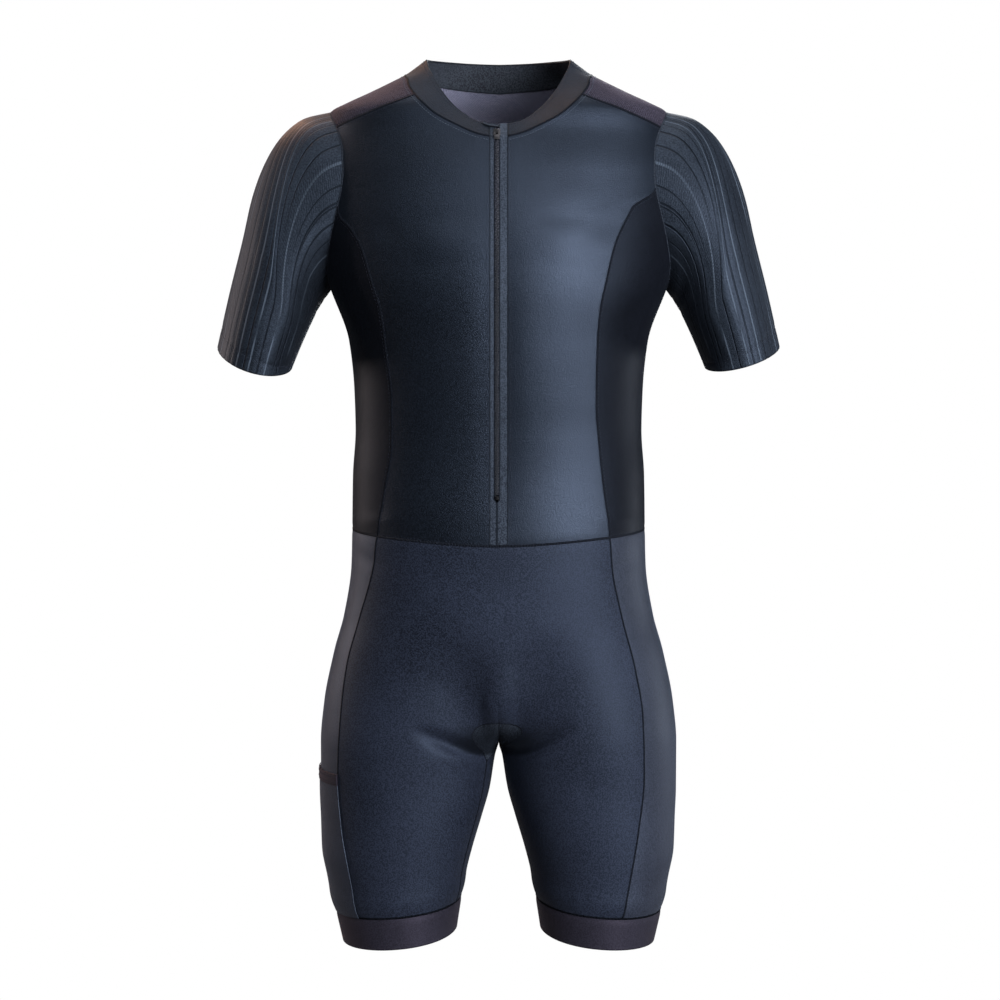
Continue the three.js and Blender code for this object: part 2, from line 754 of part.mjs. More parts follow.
function lowerSeams(side) {
  const waistFrontAngle = UPPER[side].frontSeam.at(-1).angle;
  const waistBackAngle = UPPER[side].backSeam.at(-1).angle;
  const inseamAngle = INSEAM_ANGLE[side];
  const inseamTop = place(inseamAngle, INSEAM_TOP_Z);
  const inseam = range(ROWS.inseam).map((u) =>
    place(inseamAngle, mix(INSEAM_TOP_Z, bandSeamZ(inseamAngle), u)),
  );
  const frontCorner = place(angleAtX(GUSSET.cornerX, GUSSET.cornerZ, false), GUSSET.cornerZ);
  const backCorner = place(angleAtX(GUSSET.cornerX, GUSSET.cornerZ, true), GUSSET.cornerZ);
  const turned = place(inseamAngle + 180, INSEAM_TOP_Z);
  const gussetFront = join(line(place(0, GUSSET.frontZ), frontCorner, 3), line(frontCorner, inseamTop, 2));
  const gussetBack = join(line(place(180, GUSSET.backZ), backCorner, 3), line(backCorner, turned, 2));
  const sideSeam = (waistAngle, distances, isBack) => {
    const start = waistZ(waistAngle);
    const bandX = distances(BAND_SEAM_Z);
    const end = bandSeamZ(angleAtX(bandX, BAND_SEAM_Z, isBack));
    const middle = isBack ? GUSSET.backZ : GUSSET.frontZ;
    const heights = join(
      heightsRun(start, middle - 6, ROWS.hip),
      heightsRun(middle - 6, POCKET.mouthZ, ROWS.gusset),
      [POCKET.mouthZ, bindingFoot],
      heightsRun(bindingFoot, end, ROWS.inseam - 1),
    );
    const run = heights.map((z) => place(angleAtX(distances(z), z, isBack), z));
    run[0] = place(waistAngle, start);
    return run;
  };
  return {
    inseam,
    gussetFront,
    gussetBack,
    frontSeam: sideSeam(waistFrontAngle, FRONT_SEAM[side], false),
    backSeam: sideSeam(waistBackAngle, BACK_SEAM[side], true),
  };
}

const LOWER = { left: lowerSeams("left"), right: lowerSeams("right") };

// Front or back of the shorts: one piece over both legs.
function addShortsPanel(name, isBack) {
  const sheet = new Sheet();
  for (const side of ["left", "right"]) {
    const seams = LOWER[side];
    const upper = UPPER[side];
    const centreAngle = isBack ? 180 : 0;
    const centreTop = waistZ(centreAngle);
    const centreEnd = isBack ? GUSSET.backZ : GUSSET.frontZ;
    const centre = range(ROWS.hip).map((u) => place(centreAngle, mix(centreTop, centreEnd, u)));
    const turned = seams.inseam.map((at) => place(at.angle + centreAngle, at.z));
    const inner = join(centre, isBack ? seams.gussetBack : seams.gussetFront, turned);
    const outer = isBack ? seams.backSeam : seams.frontSeam;
    const columns = (isBack ? upper.waistBack : upper.waistFront).length - 1;
    const top = isBack ? [...upper.waistBack].reverse() : waistRun(0, outer[0].angle, columns);
    const bottom = bandRun(inner.at(-1).angle, outer.at(-1).angle, columns);
    sheet.add(coonsGrid(top, bottom, inner, outer), onBody(side));
  }
  addPiece(name, sheet.solid(CLOTH), "shorts");
}

function bandRun(from, to, count) {
  return range(count).map((u) => {
    const angle = mix(from, to, u);
    return place(angle, bandSeamZ(angle));
  });
}

function shortsSideGrid(side) {
  const seams = LOWER[side];
  const top = UPPER[side].waistSide;
  const bottom = bandRun(seams.frontSeam.at(-1).angle, seams.backSeam.at(-1).angle, top.length - 1);
  return coonsGrid(top, bottom, seams.frontSeam, seams.backSeam);
}

function addShortsSide(side) {
  const sheet = new Sheet().add(shortsSideGrid(side), onBody(side));
  addPiece("shorts_side_" + side, sheet.solid(CLOTH), "side");
}

// The gusset goes from the front under the crotch to the back, down to the inseams.
function addGusset() {
  const sheet = new Sheet();
  for (const side of ["left", "right"]) {
    const seams = LOWER[side];
    const steps = ROWS.gusset;
    const dive = (u) => Math.sin(radians(90 * u));
    const front = range(steps).map((u) => place(0, mix(GUSSET.frontZ, CROTCH_Z, dive(u))));
    const back = range(steps).map((u) => place(180, mix(GUSSET.backZ, CROTCH_Z, dive(u))));
    sheet.add(ruledGrid(front, seams.gussetFront, 3), onBody(side));
    sheet.add(ruledGrid(back, seams.gussetBack, 3), onBody(side));
  }
  addPiece("crotch_gusset", sheet.solid(CLOTH, 0, SEAM_GAP), "gusset");
}

function addHemBand(side) {
  const seams = LOWER[side];
  const columns = UPPER[side].waistFront.length - 1;
  const sideColumns = UPPER[side].waistSide.length - 1;
  const backColumns = UPPER[side].waistBack.length - 1;
  const inseam = seams.inseam.at(-1).angle;
  const [front, back] = [seams.frontSeam.at(-1).angle, seams.backSeam.at(-1).angle];
  const round = join(
    bandRun(inseam, front, columns),
    bandRun(front, back, sideColumns),
    bandRun(back, inseam + 180, backColumns),
  );
  const grid = range(2).map((u) => round.map((at) => place(at.angle, mix(at.z, hemZ(at.angle), u))));
  addPiece("hem_band_" + side, new Sheet().add(grid, onBody(side)).solid(BAND), "band");
}

// Pocket on the right side panel, from the panel's own places moved out

function addPocket() {
  const grid = shortsSideGrid("right");
  const mouthRow = ROWS.hip + ROWS.gusset;
  const over = -(POCKET.thickness + SEAM_GAP);
  const panel = new Sheet().add(grid.slice(mouthRow + 1), onBody("right"));
  addPiece("thigh_pocket", panel.solid(POCKET.thickness, over), "side");
  const binding = new Sheet().add(grid.slice(mouthRow, mouthRow + 2), onBody("right"));
  const bindingOver = over - POCKET.thickness / 2;
  addPiece("pocket_binding", binding.solid(POCKET.thickness * 1.5, bindingOver), "band");
}

// Zip

// Places up the centre front: down the body from the neck seam, then on up the collar.
function zipSurface(x, at) {
  const side = x >= 0 ? "left" : "right";
  if (at.collar > 0) {
    const ends = ["right", "left"].map((end) => collarPoint(end, UPPER[end].zipEdge[0].angle, at.collar));
    const share = (x + FRONT_EDGE.right) / (FRONT_EDGE.right + FRONT_EDGE.left);
    const point = ends[0].clone().lerp(ends[1], share);
    const below = zipSurface(x, { collar: 0, z: NECK_FRONT_Z });
    const rise = ends[0].clone().sub(collarPoint("right", UPPER.right.zipEdge[0].angle, 0));
    const normal = new THREE.Vector3(1, 0, 0).cross(rise).normalize();
    return { point, normal: below.normal.lerp(normal, easeInOut(at.collar)).normalize() };
  }
  const angle = angleAtX(Math.abs(x), at.z, false);
  return { point: bodyPoint(side, angle, at.z), normal: bodyNormal(side, angle, at.z) };
}

function zipRows(topCollar, bottomZ, count) {
  const onCollar = topCollar > 0 ? range(3).map((u) => ({ collar: topCollar * (1 - u), z: NECK_FRONT_Z })) : [];
  const down = range(count).map((u) => ({ collar: 0, z: mix(NECK_FRONT_Z, bottomZ, u) }));
  return onCollar.slice(0, -1).concat(down);
}

// Tape from the cloth's edge to the coil. Under the stop the two tapes close up.
function addTape(side) {
  const rows = zipRows(1, waistZ(0), 26);
  const stopFoot = STOP_Z - STOP_LENGTH - 1;
  const grid = rows.map((at) => {
    const open = at.collar > 0 || at.z > stopFoot;
    const inner = ZIP_X + sign(side) * (open ? TAPE_EDGE - SEAM_GAP / 2 : 0);
    const outer = sign(side) * FRONT_EDGE[side];
    return range(2).map((u) => ({ at, x: mix(outer, inner, u) }));
  });
  const sheet = new Sheet().add(grid, (cell) => zipSurface(cell.x, cell.at));
  addPiece("zip_tape_" + side, sheet.solid(TAPE.thickness, TAPE.recess), "tape");
}

const SLIDER = { collar: 0.3, width: 6.6, length: 8.5, plate: 1.2, postWidth: 1.8 };
const TAB = { width: 5.2, length: 11, thickness: 1, barRadius: 0.55, holeWidth: 2.4 };
const CROWN = { width: 1.4, wall: 0.8, bottom: -3.4, top: 1.4 };

// Coil bar from the slider's mouth down to the stop.
function addCoil() {
  const rows = zipRows(0, STOP_Z, 24);
  rows[0] = { collar: 0, z: NECK_FRONT_Z - 1 };
  const grid = rows.map((at) =>
    range(2).map((u) => ({ at, x: ZIP_X + mix(-COIL_HALF, COIL_HALF, u) })),
  );
  const sheet = new Sheet().add(grid, (cell) => zipSurface(cell.x, cell.at));
  addPiece("zip_coil", sheet.solid(COIL.thickness, COIL.recess), "coil");
}

function addStop() {
  const rows = [STOP_Z, STOP_Z - STOP_LENGTH].map((z) => ({ collar: 0, z }));
  const grid = rows.map((at) => [-1, 1].map((end) => ({ at, x: ZIP_X + end * COIL_HALF })));
  const sheet = new Sheet().add(grid, (cell) => zipSurface(cell.x, cell.at));
  addPiece("zip_stop", sheet.solid(COIL.thickness + 0.4, COIL.recess - 0.4), "hardware");
}

const wasm = await Module();
wasm.setup();

function toManifold(geometry) {
  const plain = geometry.clone();
  plain.deleteAttribute("normal");
  plain.deleteAttribute("uv");
  const merged = mergeVertices(plain, 1e-4);
  const vertProperties = merged.attributes.position.array;
  return new wasm.Manifold(
    new wasm.Mesh({ numProp: 3, vertProperties, triVerts: new Uint32Array(merged.index.array) }),
  );
}

function fromManifold(solid) {
  const mesh = solid.getMesh();
  const geometry = new THREE.BufferGeometry();
  geometry.setAttribute("position", new THREE.BufferAttribute(mesh.vertProperties, 3));
  geometry.setIndex(new THREE.BufferAttribute(mesh.triVerts, 1));
  geometry.computeVertexNormals();
  return geometry;
}

// A box between two corners; out of the garment is -Y.
function boxBetween(low, high) {
  const size = high.map((value, i) => value - low[i]);
  const middle = high.map((value, i) => (value + low[i]) / 2);
  return new THREE.BoxGeometry(...size).translate(...middle);
}

// Slider and pull tab stand in a frame of their own: X across, Z up along the zip, -Y outwards.
function addSlider() {
  const [low, high] = [0, 1].map((collar) => zipSurface(ZIP_X, { collar, z: NECK_FRONT_Z }).point);
  const rise = high.clone().sub(low);
  const holder = new THREE.Group();
  holder.position.copy(low.clone().addScaledVector(rise, SLIDER.collar));
  holder.rotation.x = Math.atan2(-rise.y, rise.z);
  suit.add(holder);

  const half = SLIDER.width / 2;
  const [foot, head] = [-SLIDER.length / 2, SLIDER.length / 2];
  const frontInner = COIL.recess - SEAM_GAP;
  const frontFace = frontInner - SLIDER.plate;
  const backInner = COIL.recess + COIL.thickness + SEAM_GAP;
  const backFace = backInner + SLIDER.plate;
  const front = boxBetween([-half, frontFace, foot], [half, frontInner, head]);
  const back = boxBetween([-half, backInner, foot], [half, backFace, head]);
  const postHalf = SLIDER.postWidth / 2;
  const post = boxBetween([-postHalf, frontInner - 0.2, 1], [postHalf, backInner + 0.2, head]);
  const clear = TAB.barRadius + SEAM_GAP;
  const axisY = frontFace - clear;
  const crownFace = axisY - clear - CROWN.wall;
  const crownHalf = CROWN.width / 2;
  const crownLow = boxBetween(
    [-crownHalf, crownFace, CROWN.bottom],
    [crownHalf, frontFace + 0.2, CROWN.bottom + CROWN.wall],
  );
  const crownHigh = boxBetween(
    [-crownHalf, crownFace, CROWN.top],
    [crownHalf, frontFace + 0.2, CROWN.top + CROWN.wall],
  );
  const crownBridge = boxBetween(
    [-crownHalf, crownFace, CROWN.bottom],
    [crownHalf, crownFace + CROWN.wall, CROWN.top + CROWN.wall],
  );
  const slider = [front, back, post, crownLow, crownHigh, crownBridge]
    .map(toManifold)
    .reduce((whole, piece) => whole.add(piece));
  addPiece("zip_slider", fromManifold(slider), "hardware", holder);

  const axisZ = CROWN.top - clear;
  const tabHalf = TAB.width / 2;
  const holeHalf = TAB.holeWidth / 2;
  const holeFoot = CROWN.bottom - SEAM_GAP * 2 - axisZ;
  const tabFace = [-TAB.thickness / 2, TAB.thickness / 2];
  const bar = new THREE.CylinderGeometry(TAB.barRadius, TAB.barRadius, TAB.width, 12);
  bar.rotateZ(Math.PI / 2);
  const armOf = (end) => {
    const sides = end < 0 ? [-tabHalf, -holeHalf] : [holeHalf, tabHalf];
    return boxBetween([sides[0], tabFace[0], holeFoot - 0.5], [sides[1], tabFace[1], 0.5]);
  };
  const paddle = boxBetween([-tabHalf, tabFace[0], -TAB.length], [tabHalf, tabFace[1], holeFoot]);
  const tab = [bar, armOf(-1), armOf(1), paddle]
    .map(toManifold)
    .reduce((whole, piece) => whole.add(piece));
  const mesh = addPiece("pull_tab", fromManifold(tab), "hardware", holder);
  mesh.position.set(0, axisY, axisZ);
  return holder;
}

const GUARD = { from: -18, to: 0.6, leftShare: 0.88, rightShare: 0.7, width: 0.18, thickness: 1.2 };

// Folded guard over the top end of the zip: a bar that slants down from the collar's right half.
function addGuard() {
  const along = 8;
  const grid = range(along).map((u) => {
    const x = mix(GUARD.from, GUARD.to, u);
    const middle = mix(GUARD.leftShare, GUARD.rightShare, u);
    return range(2).map((v) => ({ x, collar: middle + GUARD.width * (0.5 - v) }));
  });
  const surface = ({ x, collar }) => {
    if (x > -FRONT_EDGE.right) return zipSurface(x, { collar, z: NECK_FRONT_Z });
    const angle = angleAtX(-x, NECK_FRONT_Z, false);
    const edge = zipSurface(-FRONT_EDGE.right, { collar, z: NECK_FRONT_Z });
    return { point: collarPoint("right", angle, collar), normal: edge.normal };
  };
  const over = -(GUARD.thickness + SEAM_GAP + 0.1);
  addPiece("zip_guard", new Sheet().add(grid, surface).solid(GUARD.thickness, over), "side");
}

for (const side of ["left", "right"]) {
  addFront(side);
  addSide(side);
  addSleeve(side);
  addShortsSide(side);
  addHemBand(side);
  addTape(side);
}
addBack();
addCollar();
addShortsPanel("shorts_front", false);
addShortsPanel("shorts_back", true);
addGusset();
addPocket();
addCoil();
addStop();
addSlider();
addGuard();

export default suit;
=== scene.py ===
# %% [markdown]
# # A short-sleeved triathlon suit
# The suit is shown filled out, as on a wearer, with nobody in it. Every panel of cloth here is a
# surface worked out with numpy from the same few tables of sizes: sections of the body, and the
# lines of the seams. The script first loads the measured frame, which fixes where everything is.

# %% Load the frame
import json

import bpy
import numpy as np
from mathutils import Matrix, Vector

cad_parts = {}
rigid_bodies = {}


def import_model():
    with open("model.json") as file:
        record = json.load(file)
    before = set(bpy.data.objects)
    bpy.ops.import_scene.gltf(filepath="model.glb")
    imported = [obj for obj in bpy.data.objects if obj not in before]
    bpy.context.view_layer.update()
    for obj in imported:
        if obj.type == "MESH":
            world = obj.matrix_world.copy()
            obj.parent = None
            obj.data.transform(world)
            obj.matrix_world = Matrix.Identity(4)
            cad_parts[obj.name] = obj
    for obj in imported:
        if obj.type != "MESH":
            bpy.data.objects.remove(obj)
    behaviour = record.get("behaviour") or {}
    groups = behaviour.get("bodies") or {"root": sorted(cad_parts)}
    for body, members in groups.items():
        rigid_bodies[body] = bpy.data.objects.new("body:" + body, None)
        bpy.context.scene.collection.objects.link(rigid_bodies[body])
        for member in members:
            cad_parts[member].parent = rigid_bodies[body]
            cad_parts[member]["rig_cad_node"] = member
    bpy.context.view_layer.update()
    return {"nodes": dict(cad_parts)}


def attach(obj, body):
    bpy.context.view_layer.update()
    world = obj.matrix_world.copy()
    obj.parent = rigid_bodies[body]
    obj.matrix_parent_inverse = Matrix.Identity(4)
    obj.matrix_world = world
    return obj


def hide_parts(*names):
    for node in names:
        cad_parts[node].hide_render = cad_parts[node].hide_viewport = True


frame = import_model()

MM = 0.001
SUIT = "suit"
print("nodes in the frame:", len(frame["nodes"]))

# %% [markdown]
# ## Smooth tables
# A maker describes a body by a few sections, one for each height. Between two rows the size must
# change smoothly but never swing past either row, or the cloth would bulge where nothing pushes
# it. A monotone cubic does that, so it is used here rather than a plain spline.


# %% Tables of sections
def monotone_curve(keys, values):
    """Cubic Hermite through the points; a slope is the harmonic mean of its two neighbours."""
    keys, values = np.asarray(keys, float), np.asarray(values, float)
    step = np.diff(keys)
    slope = np.diff(values) / step
    tangent = np.zeros_like(values)
    product = slope[:-1] * slope[1:]
    total = np.where(product > 0, slope[:-1] + slope[1:], 1.0)
    tangent[1:-1] = np.where(product > 0, 2 * product / total, 0.0)
    tangent[0], tangent[-1] = slope[0], slope[-1]

    def curve(key):
        held = np.clip(key, keys[0], keys[-1])
        i = np.clip(np.searchsorted(keys, held) - 1, 0, len(step) - 1)
        u = (held - keys[i]) / step[i]
        rise = values[i + 1] - values[i]
        start_pull = u * (1 - u) ** 2 * step[i] * tangent[i]
        end_pull = u * u * (u - 1) * step[i] * tangent[i + 1]
        return values[i] + rise * u * u * (3 - 2 * u) + start_pull + end_pull

    return curve


def table(names, rows):
    """The first column is the key; each other column becomes a smooth function of it."""
    ordered = np.array(sorted(rows))
    columns = zip(names.split()[1:], ordered.T[1:])
    return {name: monotone_curve(ordered[:, 0], values) for name, values in columns}


BODY = table(
    "z half_width front_depth back_depth squareness",
    [
        (8, 78, 58, 58, 2.2),
        (0, 92, 62, 62, 2.2),
        (-10, 112, 66, 66, 2.2),
        (-20, 133, 70, 71, 2.2),
        (-30, 155, 75, 77, 2.25),
        (-38, 170, 79, 82, 2.15),
        (-60, 179, 86, 94, 2.05),
        (-75, 184, 92, 101, 2.0),
        (-100, 188, 101, 110, 2.0),
        (-140, 189, 112, 117, 2.05),
        (-180, 184, 119, 119, 2.15),
        (-217, 172, 121, 117, 2.3),
        (-271, 153, 117, 108, 2.35),
        (-321, 148, 111, 96, 2.35),
        (-361, 147, 106, 88, 2.35),
        (-408, 150, 103, 84, 2.35),
        (-463, 151, 104, 92, 2.35),
        (-500, 152, 104, 101, 2.35),
        (-553, 160, 103, 111, 2.3),
        (-593, 171, 101, 115, 2.3),
        (-642, 181, 97, 115, 2.2),
        (-691, 185, 92, 110, 2.1),
    ],
)
LEG = table(
    "z inner outer front_depth back_depth squareness",
    [
        (-500, 0, 152, 96, 100, 2.1),
        (-593, 0, 171, 95, 104, 2.1),
        (-642, 0, 181, 94, 104, 2.1),
        (-686, 0, 185, 92, 101, 2.1),
        (-700, 3.5, 185, 91, 99, 2.1),
        (-734, 9, 185, 88, 96, 2.1),
        (-763, 17, 184, 86, 93, 2.1),
        (-797, 27, 183, 83, 89, 2.1),
        (-825, 34, 178, 80, 85, 2.1),
        (-860, 40, 171, 77, 81, 2.1),
        (-900, 46, 162, 75, 78, 2.1),
    ],
)
print("chest half width in mm:", round(float(BODY["half_width"](-217)), 1))

# %% [markdown]
# ## The body as one surface
# Every body panel lies on one surface, cut up by the seams. A point of it has two numbers: the
# angle round the suit, 0 at the centre front and 180 at the centre back, and the height. Lower
# down the section parts into two legs. Near the middle it parts like the fork of a branch, and
# out on the thigh it changes gently, so that no ridge shows there.

# %% Body surface
CROTCH_Z, SPLIT_TOP_Z, SPLIT_ROUNDNESS, FORK_WIDTH = -686, -545, 2.5, 38
WAIST_Z, WAIST_DIP, BAND_SEAM_Z, HEM_Z, HEM_TILT = -463, 9, -855, -888, 6
NECK_FRONT_Z, CHEST_Z, BLADE_Z = -70, -132, -95
SIGN = {"left": 1, "right": -1}


def ease(u):
    """Starts and ends level: three u squared less two u cubed, held between 0 and 1."""
    held = np.clip(u, 0, 1)
    return held * held * (3 - 2 * held)


def mix(a, b, share):
    return a + (b - a) * share


def superellipse_radius(across, along, half_width, depth, power):
    """Distance to the rim along a direction: the sum of both shares, each to a power, is 1."""
    total = np.abs(across / half_width) ** power + np.abs(along / depth) ** power
    return total ** (-1 / power)


def leg_share(angle, z):
    """0 on the torso and 1 on a leg: a rounded fork near the middle, an even change outwards."""
    way = np.clip((SPLIT_TOP_Z - z) / (SPLIT_TOP_Z - CROTCH_Z), 0, 1)
    fork = 1 - (1 - way**SPLIT_ROUNDNESS) ** (1 / SPLIT_ROUNDNESS)
    outwards = np.minimum(np.abs(angle), np.abs(180 - angle)) / FORK_WIDTH
    return mix(fork, ease(way), ease(outwards))


def body_point(side, angle, z):
    """A superellipse section, blended into the leg's, which the doubled angle goes round."""
    angle, z = np.broadcast_arrays(np.asarray(angle, float), np.asarray(z, float))
    sine, cosine = np.sin(np.radians(angle)), np.cos(np.radians(angle))
    depth = np.where(cosine >= 0, BODY["front_depth"](z), BODY["back_depth"](z))
    radius = superellipse_radius(sine, cosine, BODY["half_width"](z), depth, BODY["squareness"](z))
    across, along = np.cos(np.radians(2 * angle)), np.sin(np.radians(2 * angle))
    inner = LEG["inner"](z)
    half = (LEG["outer"](z) - inner) / 2
    leg_depth = np.where(along >= 0, LEG["front_depth"](z), LEG["back_depth"](z))
    leg_radius = superellipse_radius(across, along, half, leg_depth, LEG["squareness"](z))
    share = leg_share(angle, z)
    x = mix(radius * sine, inner + half - leg_radius * across, share)
    y = mix(-radius * cosine, -leg_radius * along, share)
    return np.stack([SIGN[side] * x, y, z], axis=-1)


def unit(vectors):
    return vectors / np.maximum(np.linalg.norm(vectors, axis=-1, keepdims=True), 1e-12)


def body_normal(side, angle, z):
    """Outward direction: the cross product of a small step round and a small step up."""
    angle, z = np.asarray(angle, float), np.asarray(z, float)
    step = 0.2
    around = body_point(side, angle + step, z) - body_point(side, angle - step, z)
    up = body_point(side, angle, z + step) - body_point(side, angle, z - step)
    return unit(SIGN[side] * np.cross(around, up))


def angle_at_x(x, z, is_back=False):
    """The angle where half the body reaches a distance from the middle, found by halving."""
    x, z = np.broadcast_arrays(np.asarray(x, float), np.asarray(z, float))
    near, far = np.zeros_like(x), np.full_like(x, 90.0)
    for _ in range(34):
        middle = (near + far) / 2
        reached = body_point("left", 180 - middle if is_back else middle, z)[..., 0]
        short = reached < x
        near = np.where(short, middle, near)
        far = np.where(short, far, middle)
    return 180 - near if is_back else near


print("centre front at the waist:", body_point("left", 0, WAIST_Z).round(1))

# %% [markdown]
# ## Seam lines
# The seams are what gives a suit its cut. Each is a list of places, angle and height, so that
# the panels on both sides of it, and the stitching on top, all use the very same line. The suit
# sits turned a little on the figure, so the left and right seams lie at different distances.

# %% Seam tables
NECK_SEAM = table(
    "angle z",
    [
        (0, -70),
        (14, -65),
        (27, -56),
        (38, -46),
        (48, -32),
        (58, -19),
        (70, -6),
        (90, -1),
        (120, -5),
        (150, -11),
        (180, -14),
    ],
)
FRONT_SEAM = table(
    "z left right",
    [
        (-141, 131, 161),
        (-160, 121, 146),
        (-175, 114.5, 137),
        (-210, 106, 126),
        (-240, 100, 117),
        (-280, 97.5, 112),
        (-330, 97, 107),
        (-370, 100, 107),
        (-415, 105, 114),
        (-463, 111.5, 122),
        (-500, 114.5, 127),
        (-550, 125, 141),
        (-600, 138, 154.5),
        (-650, 146, 160.5),
        (-710, 147.5, 163.5),
        (-765, 142, 159.5),
        (-815, 134, 151),
        (-860, 126, 143),
    ],
)
BACK_SEAM = table(
    "z left right",
    [
        (-160, 142, 142),
        (-210, 122, 122),
        (-280, 106, 106),
        (-370, 101, 101),
        (-463, 108, 108),
        (-550, 122, 122),
        (-650, 142, 142),
        (-765, 145, 145),
        (-860, 130, 130),
    ],
)
ARMHOLE = {"centre_y": 2, "centre_z": -128, "half_height": 90, "half_depth": 62}
ARM_YOKE, ARM_BACK, ARM_BLADE = 37, 262, 312
ARM_FRONT = {"left": 84, "right": 95}
YOKE_NECK_ANGLE, BLADE_NECK_ANGLE = 53, 140
FRONT_EDGE = {"left": 9.5, "right": 9}
INSEAM_ANGLE = {"left": -5, "right": 13}
INSEAM_TOP_Z = -700
GUSSET = {"front_z": -651, "back_z": -655, "corner_x": 33, "corner_z": -663}
POCKET_MOUTH_Z, POCKET_BINDING = -710, 11


# %% Places on the body
def places(angles, heights):
    """A run of places as an array with two columns, angle and height."""
    angles, heights = np.broadcast_arrays(np.asarray(angles, float), np.asarray(heights, float))
    return np.stack([angles, heights], axis=-1)


def straight(start, end, count):
    """Places spaced evenly between two places."""
    share = np.linspace(0, 1, count + 1)[:, None]
    return np.asarray(start, float) * (1 - share) + np.asarray(end, float) * share


def join(*runs):
    """Runs that follow on, each without its first place, which the one before already has."""
    return np.concatenate([runs[0]] + [run[1:] for run in runs[1:]])


def waist_z(angle):
    return WAIST_Z - WAIST_DIP * np.maximum(0, np.cos(np.radians(angle))) ** 2


def band_seam_z(angle):
    return BAND_SEAM_Z + HEM_TILT * np.cos(np.radians(2 * np.asarray(angle, float)))


def hem_z(angle):
    return HEM_Z + HEM_TILT * np.cos(np.radians(2 * np.asarray(angle, float)))


def armhole_run(start, end, count):
    """An ellipse seen from the side, laid on the body by solving its section for x."""
    turn = np.radians(np.linspace(start, end, count + 1))
    y = ARMHOLE["centre_y"] - ARMHOLE["half_depth"] * np.sin(turn)
    z = ARMHOLE["centre_z"] + ARMHOLE["half_height"] * np.cos(turn)
    depth = np.where(y <= 0, BODY["front_depth"](z), BODY["back_depth"](z))
    power = BODY["squareness"](z)
    x = BODY["half_width"](z) * (1 - np.abs(y / depth) ** power) ** (1 / power)
    return places(np.degrees(np.arctan2(x, -y)), z)


def neck_run(start, end, count):
    angles = np.linspace(start, end, count + 1)
    return places(angles, NECK_SEAM["z"](angles))


def seam_down(start, last_z, distances, is_back, count):
    """Down from the armhole, easing over 22 mm into the distances of the seam's own column."""
    first_x = body_point("left", *start)[0]
    z = np.linspace(start[1], last_z, count + 1)
    x = mix(first_x, distances(z), ease((start[1] - z) / 22))
    run = places(angle_at_x(x, z, is_back), z)
    run[0] = start
    return run


# %% Upper seams
COUNT = {
    "neck_front": 36,
    "yoke": 24,
    "arm_front": 20,
    "front_seam": 92,
    "arm_under": 48,
    "arm_blade": 14,
    "arm_top": 34,
    "back_seam": 92,
    "neck_shoulder": 34,
    "neck_back": 22,
    "blade_line": 24,
}


def waist_run(start, end, count):
    angles = np.linspace(start, end, count + 1)
    return places(angles, waist_z(angles))


def upper_seams(side):
    """Every seam of one upper half, by name."""
    zip_angle = angle_at_x(FRONT_EDGE[side], NECK_FRONT_Z)
    yoke_arm = armhole_run(ARM_YOKE, ARM_FRONT[side], 1)
    under = armhole_run(ARM_FRONT[side], ARM_BACK, 1)
    blade = armhole_run(ARM_BACK, ARM_BLADE, 1)
    front_foot = angle_at_x(FRONT_SEAM[side](WAIST_Z), WAIST_Z)
    back_foot = angle_at_x(BACK_SEAM[side](WAIST_Z), WAIST_Z, True)
    front = seam_down(yoke_arm[1], waist_z(front_foot), FRONT_SEAM[side], False, COUNT["front_seam"])
    back = seam_down(under[1], waist_z(back_foot), BACK_SEAM[side], True, COUNT["back_seam"])
    zip_heights = join(
        np.linspace(NECK_FRONT_Z, CHEST_Z, COUNT["yoke"] + COUNT["arm_front"] + 1),
        np.linspace(CHEST_Z, waist_z(0), COUNT["front_seam"] + 1),
    )
    zip_edge = places(angle_at_x(FRONT_EDGE[side], zip_heights), zip_heights)
    zip_edge[0] = (zip_angle, NECK_SEAM["z"](zip_angle))
    yoke_neck = (YOKE_NECK_ANGLE, NECK_SEAM["z"](YOKE_NECK_ANGLE))
    blade_neck = (BLADE_NECK_ANGLE, NECK_SEAM["z"](BLADE_NECK_ANGLE))
    return {
        "zip_edge": zip_edge,
        "neck_front": neck_run(zip_angle, YOKE_NECK_ANGLE, COUNT["neck_front"]),
        "neck_shoulder": neck_run(YOKE_NECK_ANGLE, BLADE_NECK_ANGLE, COUNT["neck_shoulder"]),
        "neck_back": neck_run(BLADE_NECK_ANGLE, 180, COUNT["neck_back"]),
        "yoke": straight(yoke_neck, yoke_arm[0], COUNT["yoke"]),
        "arm_front": armhole_run(ARM_YOKE, ARM_FRONT[side], COUNT["arm_front"]),
        "arm_under": armhole_run(ARM_FRONT[side], ARM_BACK, COUNT["arm_under"]),
        "arm_blade": armhole_run(ARM_BACK, ARM_BLADE, COUNT["arm_blade"]),
        "arm_top": armhole_run(ARM_BLADE, 360 + ARM_YOKE, COUNT["arm_top"]),
        "front_seam": front,
        "back_seam": back,
        "blade_line": straight(blade[1], blade_neck, COUNT["blade_line"]),
        "waist_front": waist_run(zip_edge[-1][0], front_foot, COUNT["neck_front"]),
        "waist_side": waist_run(front_foot, back_foot, COUNT["arm_under"]),
        "waist_back": waist_run(back_foot, 180, COUNT["blade_line"] + COUNT["neck_back"]),
    }


UPPER = {side: upper_seams(side) for side in SIGN}
print("upper seams of each side:", len(UPPER["left"]))

# %% Lower seams
ROWS = {"hip": 66, "gusset": 24, "inseam": 52}


